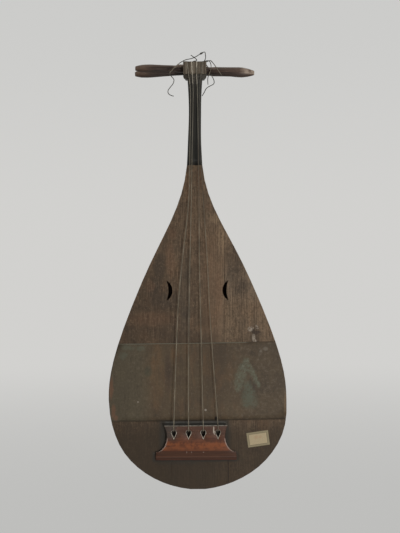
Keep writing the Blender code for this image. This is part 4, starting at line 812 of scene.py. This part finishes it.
def bone(name, cleanness, floor):
    """Yellowed bone. It is darker above the floor height, and cleanness scales its colour."""
    paint = Paint(name)
    stain = paint.noise(paint.place, 220.0, 4.0, 0.6)
    color = paint.mix(stain.step(0.32, 0.55), tuple(c * cleanness for c in (0.190, 0.160, 0.125)),
                      tuple(c * cleanness for c in (0.480, 0.420, 0.340)))
    color = paint.mix(paint.z.step(floor, floor + 0.004) * 0.75, color, (0.085, 0.065, 0.050))
    return paint.finish(color, 0.45, paint.bump(stain, 0.0001, 0.3))


dressed("bridge_lip_strip", bone("strip_bone", 0.43, 1.0), bevel=0.0002)
rim_bone = bone("rim_bone", 1.0, EYE_Z)
for number in range(1, 5):
    dressed("eye_rim_" + str(number), rim_bone)

# %% [markdown]
# ## Strings, knots and braces
#
# The strings, their knots in the eyes and their turns on the pegs share one silk. The braces
# under the belly are raw softwood and can only be seen through the sound holes.

# %% Strings and braces
for number in range(1, 5):
    label = str(number)
    dressed("string_" + label, string_silk)
    dressed("string_knot_" + label, string_silk)
    dressed("string_winding_" + label, string_silk, "peg_" + label)


def brace_wood():
    paint = Paint("brace_wood")
    fibre = paint.grain(0.0015, 0.040, 1.0, along="x", detail=4.0)
    color = paint.mix(fibre.step(0.40, 0.60), (0.28, 0.19, 0.11), (0.42, 0.30, 0.18))
    return paint.finish(color, 0.7, paint.bump(fibre, 0.0001, 0.4))


brace_finish = brace_wood()
for number in (1, 2):
    dressed("belly_brace_" + str(number), brace_finish)

# %% [markdown]
# ## A bare paper slip
#
# A small slip of paper is pasted on the belly at the lower right, a little askew. It carries
# nothing: a pale panel with an olive border and a faint reddish stain. Rays at the model's boards
# lay it on their curve.

# %% Paper
LABEL_CENTRE = Vector((0.1220, 0.0, 0.1007))
LABEL_SIZE = (0.0440, 0.0295)
LABEL_TILT = math.radians(7.5)


def paper():
    paint = Paint("slip_paper")
    fibre = paint.noise(paint.place, 900.0, 4.0, 0.7)
    stain = paint.spots([(0.1180, 0.1040, 0.0040, 0.0034), (0.1265, 0.1045, 0.0030, 0.0026)],
                        0.006, 0.9)
    color = paint.mix(fibre.step(0.3, 0.7), (0.330, 0.265, 0.165), (0.400, 0.325, 0.205))
    color = paint.mix(stain * 0.35, color, (0.330, 0.170, 0.100))
    across = (paint.x - LABEL_CENTRE.x) * math.cos(LABEL_TILT)
    across = across + (paint.z - LABEL_CENTRE.z) * math.sin(LABEL_TILT)
    up = (paint.z - LABEL_CENTRE.z) * math.cos(LABEL_TILT)
    up = up - (paint.x - LABEL_CENTRE.x) * math.sin(LABEL_TILT)
    border = (across.abs() - LABEL_SIZE[0] / 2).max(up.abs() - LABEL_SIZE[1] / 2)
    color = paint.mix(border.step(-0.0046, -0.0038) * 0.70, color, (0.180, 0.155, 0.095))
    color = paint.mix(border.between(-0.0044, -0.0034, 0.0003) * 0.50, color, (0.075, 0.062, 0.038))
    return paint.finish(color, 0.8, paint.bump(fibre, 0.0001, 0.3))

# %% The slip itself
def surface_tree(name):
    source = nodes[name]
    corners = [source.matrix_world @ vert.co for vert in source.data.vertices]
    return BVHTree.FromPolygons(corners, [face.vertices[:] for face in source.data.polygons])


FRONT_TREES = [surface_tree(name) for name in ("belly_centre", "belly_left", "belly_right")]


def belly_surface(x, z):
    """Y of the belly's front, found by rays at the model's boards."""
    hits = [tree.ray_cast(Vector((x, -0.1, z)), Vector((0, 1, 0)))[0] for tree in FRONT_TREES]
    return min(hit.y for hit in hits if hit)


def build_label():
    shape = bmesh.new()
    bmesh.ops.create_grid(shape, x_segments=16, y_segments=12, size=0.5)
    turn = Matrix.Rotation(-LABEL_TILT, 4, "Y")
    for vert in shape.verts:
        flat = Vector((vert.co.x * LABEL_SIZE[0], 0, vert.co.y * LABEL_SIZE[1]))
        at = LABEL_CENTRE + turn @ flat
        vert.co = (at.x, belly_surface(at.x, at.z) - 0.0002, at.z)
    mesh = bpy.data.meshes.new("paper_slip")
    bmesh.ops.recalc_face_normals(shape, faces=shape.faces)
    shape.to_mesh(mesh)
    shape.free()
    mesh.materials.append(paper())
    piece = link(bpy.data.objects.new("paper_slip", mesh))
    thick = piece.modifiers.new("sheet", "SOLIDIFY")
    thick.thickness = 0.00015
    thick.offset = 0
    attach(piece, "root")
    print("slip:", [round(1000 * side, 1) for side in LABEL_SIZE], "mm")


build_label()

# %% [markdown]
# ## Floor, air and light
#
# The lute is held up over a pale floor that runs to the horizon, with even air above. Seen
# directly, both take a flat grey, so that the sweep looks the same from any side. For light that
# bounces they stay an ordinary floor and a soft room.

# %% Floor
FLOOR_Z = -0.40
FLOOR_RADIUS = 14.0
FLOOR_GREY = (0.60, 0.60, 0.585)
HORIZON_GREY = (0.643, 0.638, 0.622)
NEAR_GREY = (0.515, 0.515, 0.503)
TOP_GREY = (0.600, 0.600, 0.588)


def build_floor():
    shape = bmesh.new()
    bmesh.ops.create_circle(shape, cap_ends=True, segments=96, radius=FLOOR_RADIUS,
                            matrix=Matrix.Translation((0, 0, FLOOR_Z)))
    mesh = bpy.data.meshes.new("pale_floor")
    shape.to_mesh(mesh)
    shape.free()
    floor = link(bpy.data.objects.new("pale_floor", mesh))
    paint = Paint("pale_floor")
    paint.finish(FLOOR_GREY, 0.9)
    reach = paint.node("ShaderNodeVectorMath", {"operation": "LENGTH"}, {0: paint.place}, 1)
    seen = paint.node("ShaderNodeLightPath")
    mirrored = Value(paint, seen.socket.node.outputs["Is Glossy Ray"])
    glow_color = paint.mix(reach.step(1.4, 9.0), NEAR_GREY, HORIZON_GREY)
    glow = paint.node("ShaderNodeEmission", values={"Color": glow_color, "Strength": 1.0})
    flat = 0.60 + reach.step(0.45, 1.00) * 0.40
    mixed = paint.node("ShaderNodeMixShader", values={0: seen.max(mirrored) * flat})
    mixer = mixed.socket.node
    paint.tree.links.new(paint.shader.outputs[0], mixer.inputs[1])
    paint.tree.links.new(glow.socket, mixer.inputs[2])
    output = paint.tree.nodes["Material Output"]
    paint.tree.links.new(mixer.outputs[0], output.inputs["Surface"])
    mesh.materials.append(paint.material)


build_floor()

# %% Lights
def area_light(name, at, aim, size, watts):
    light = bpy.data.lights.new(name, "AREA")
    light.shape = "RECTANGLE"
    light.size, light.size_y = size
    light.energy = watts
    lamp = link(bpy.data.objects.new(name, light))
    lamp.location = at
    lamp.rotation_euler = (Vector(aim) - Vector(at)).to_track_quat("-Z", "Y").to_euler()


area_light("left_softbox", (-1.9, -1.9, 1.5), (0, 0, 0.45), (1.4, 1.8), 12)
area_light("right_softbox", (1.9, -1.9, 1.3), (0, 0, 0.45), (1.4, 1.8), 10)
area_light("low_key", (0.50, -1.55, -0.20), (0, 0, 0.45), (0.20, 0.20), 14)
area_light("top_softbox", (0, -0.6, 2.4), (0, 0, 0.45), (1.6, 1.0), 10)

# %% [markdown]
# The air is a plain soft light. Seen directly it fades from the horizon's tone to a slightly
# darker one above, as a lit sweep does.

# %% World
world = bpy.data.worlds.new("studio_air")
world.use_nodes = True
air = world.node_tree
bpy.context.scene.world = world


def air_node(kind, **values):
    made = air.nodes.new(kind)
    for key, value in values.items():
        made.inputs[key.replace("_", " ")].default_value = value
    return made


room = air.nodes["Background"]
room.inputs["Color"].default_value = (0.9, 0.9, 0.9, 1)
room.inputs["Strength"].default_value = 0.20
seen = air_node("ShaderNodeBackground")
direction = air_node("ShaderNodeTexCoord")
height = air_node("ShaderNodeSeparateXYZ")
fade = air_node("ShaderNodeMapRange", From_Min=0.02, From_Max=0.22)
fade.interpolation_type = "SMOOTHSTEP"
shade = air_node("ShaderNodeMix")
shade.data_type = "RGBA"
shade.inputs[6].default_value = (*HORIZON_GREY, 1)
shade.inputs[7].default_value = (*TOP_GREY, 1)
rays = air_node("ShaderNodeLightPath")
direct, mirror = air_node("ShaderNodeMath"), air_node("ShaderNodeMath")
direct.operation = mirror.operation = "MAXIMUM"
blend = air_node("ShaderNodeMixShader")
for source, target in (
        (direction.outputs["Generated"], height.inputs[0]),
        (height.outputs["Z"], fade.inputs["Value"]),
        (fade.outputs["Result"], shade.inputs[0]),
        (shade.outputs[2], seen.inputs["Color"]),
        (rays.outputs["Is Camera Ray"], direct.inputs[0]),
        (rays.outputs["Is Transmission Ray"], direct.inputs[1]),
        (direct.outputs[0], mirror.inputs[0]),
        (rays.outputs["Is Glossy Ray"], mirror.inputs[1]),
        (mirror.outputs[0], blend.inputs[0]),
        (room.outputs[0], blend.inputs[1]),
        (seen.outputs[0], blend.inputs[2]),
        (blend.outputs[0], air.nodes["World Output"].inputs["Surface"])):
    air.links.new(source, target)
print("air nodes:", len(air.nodes))
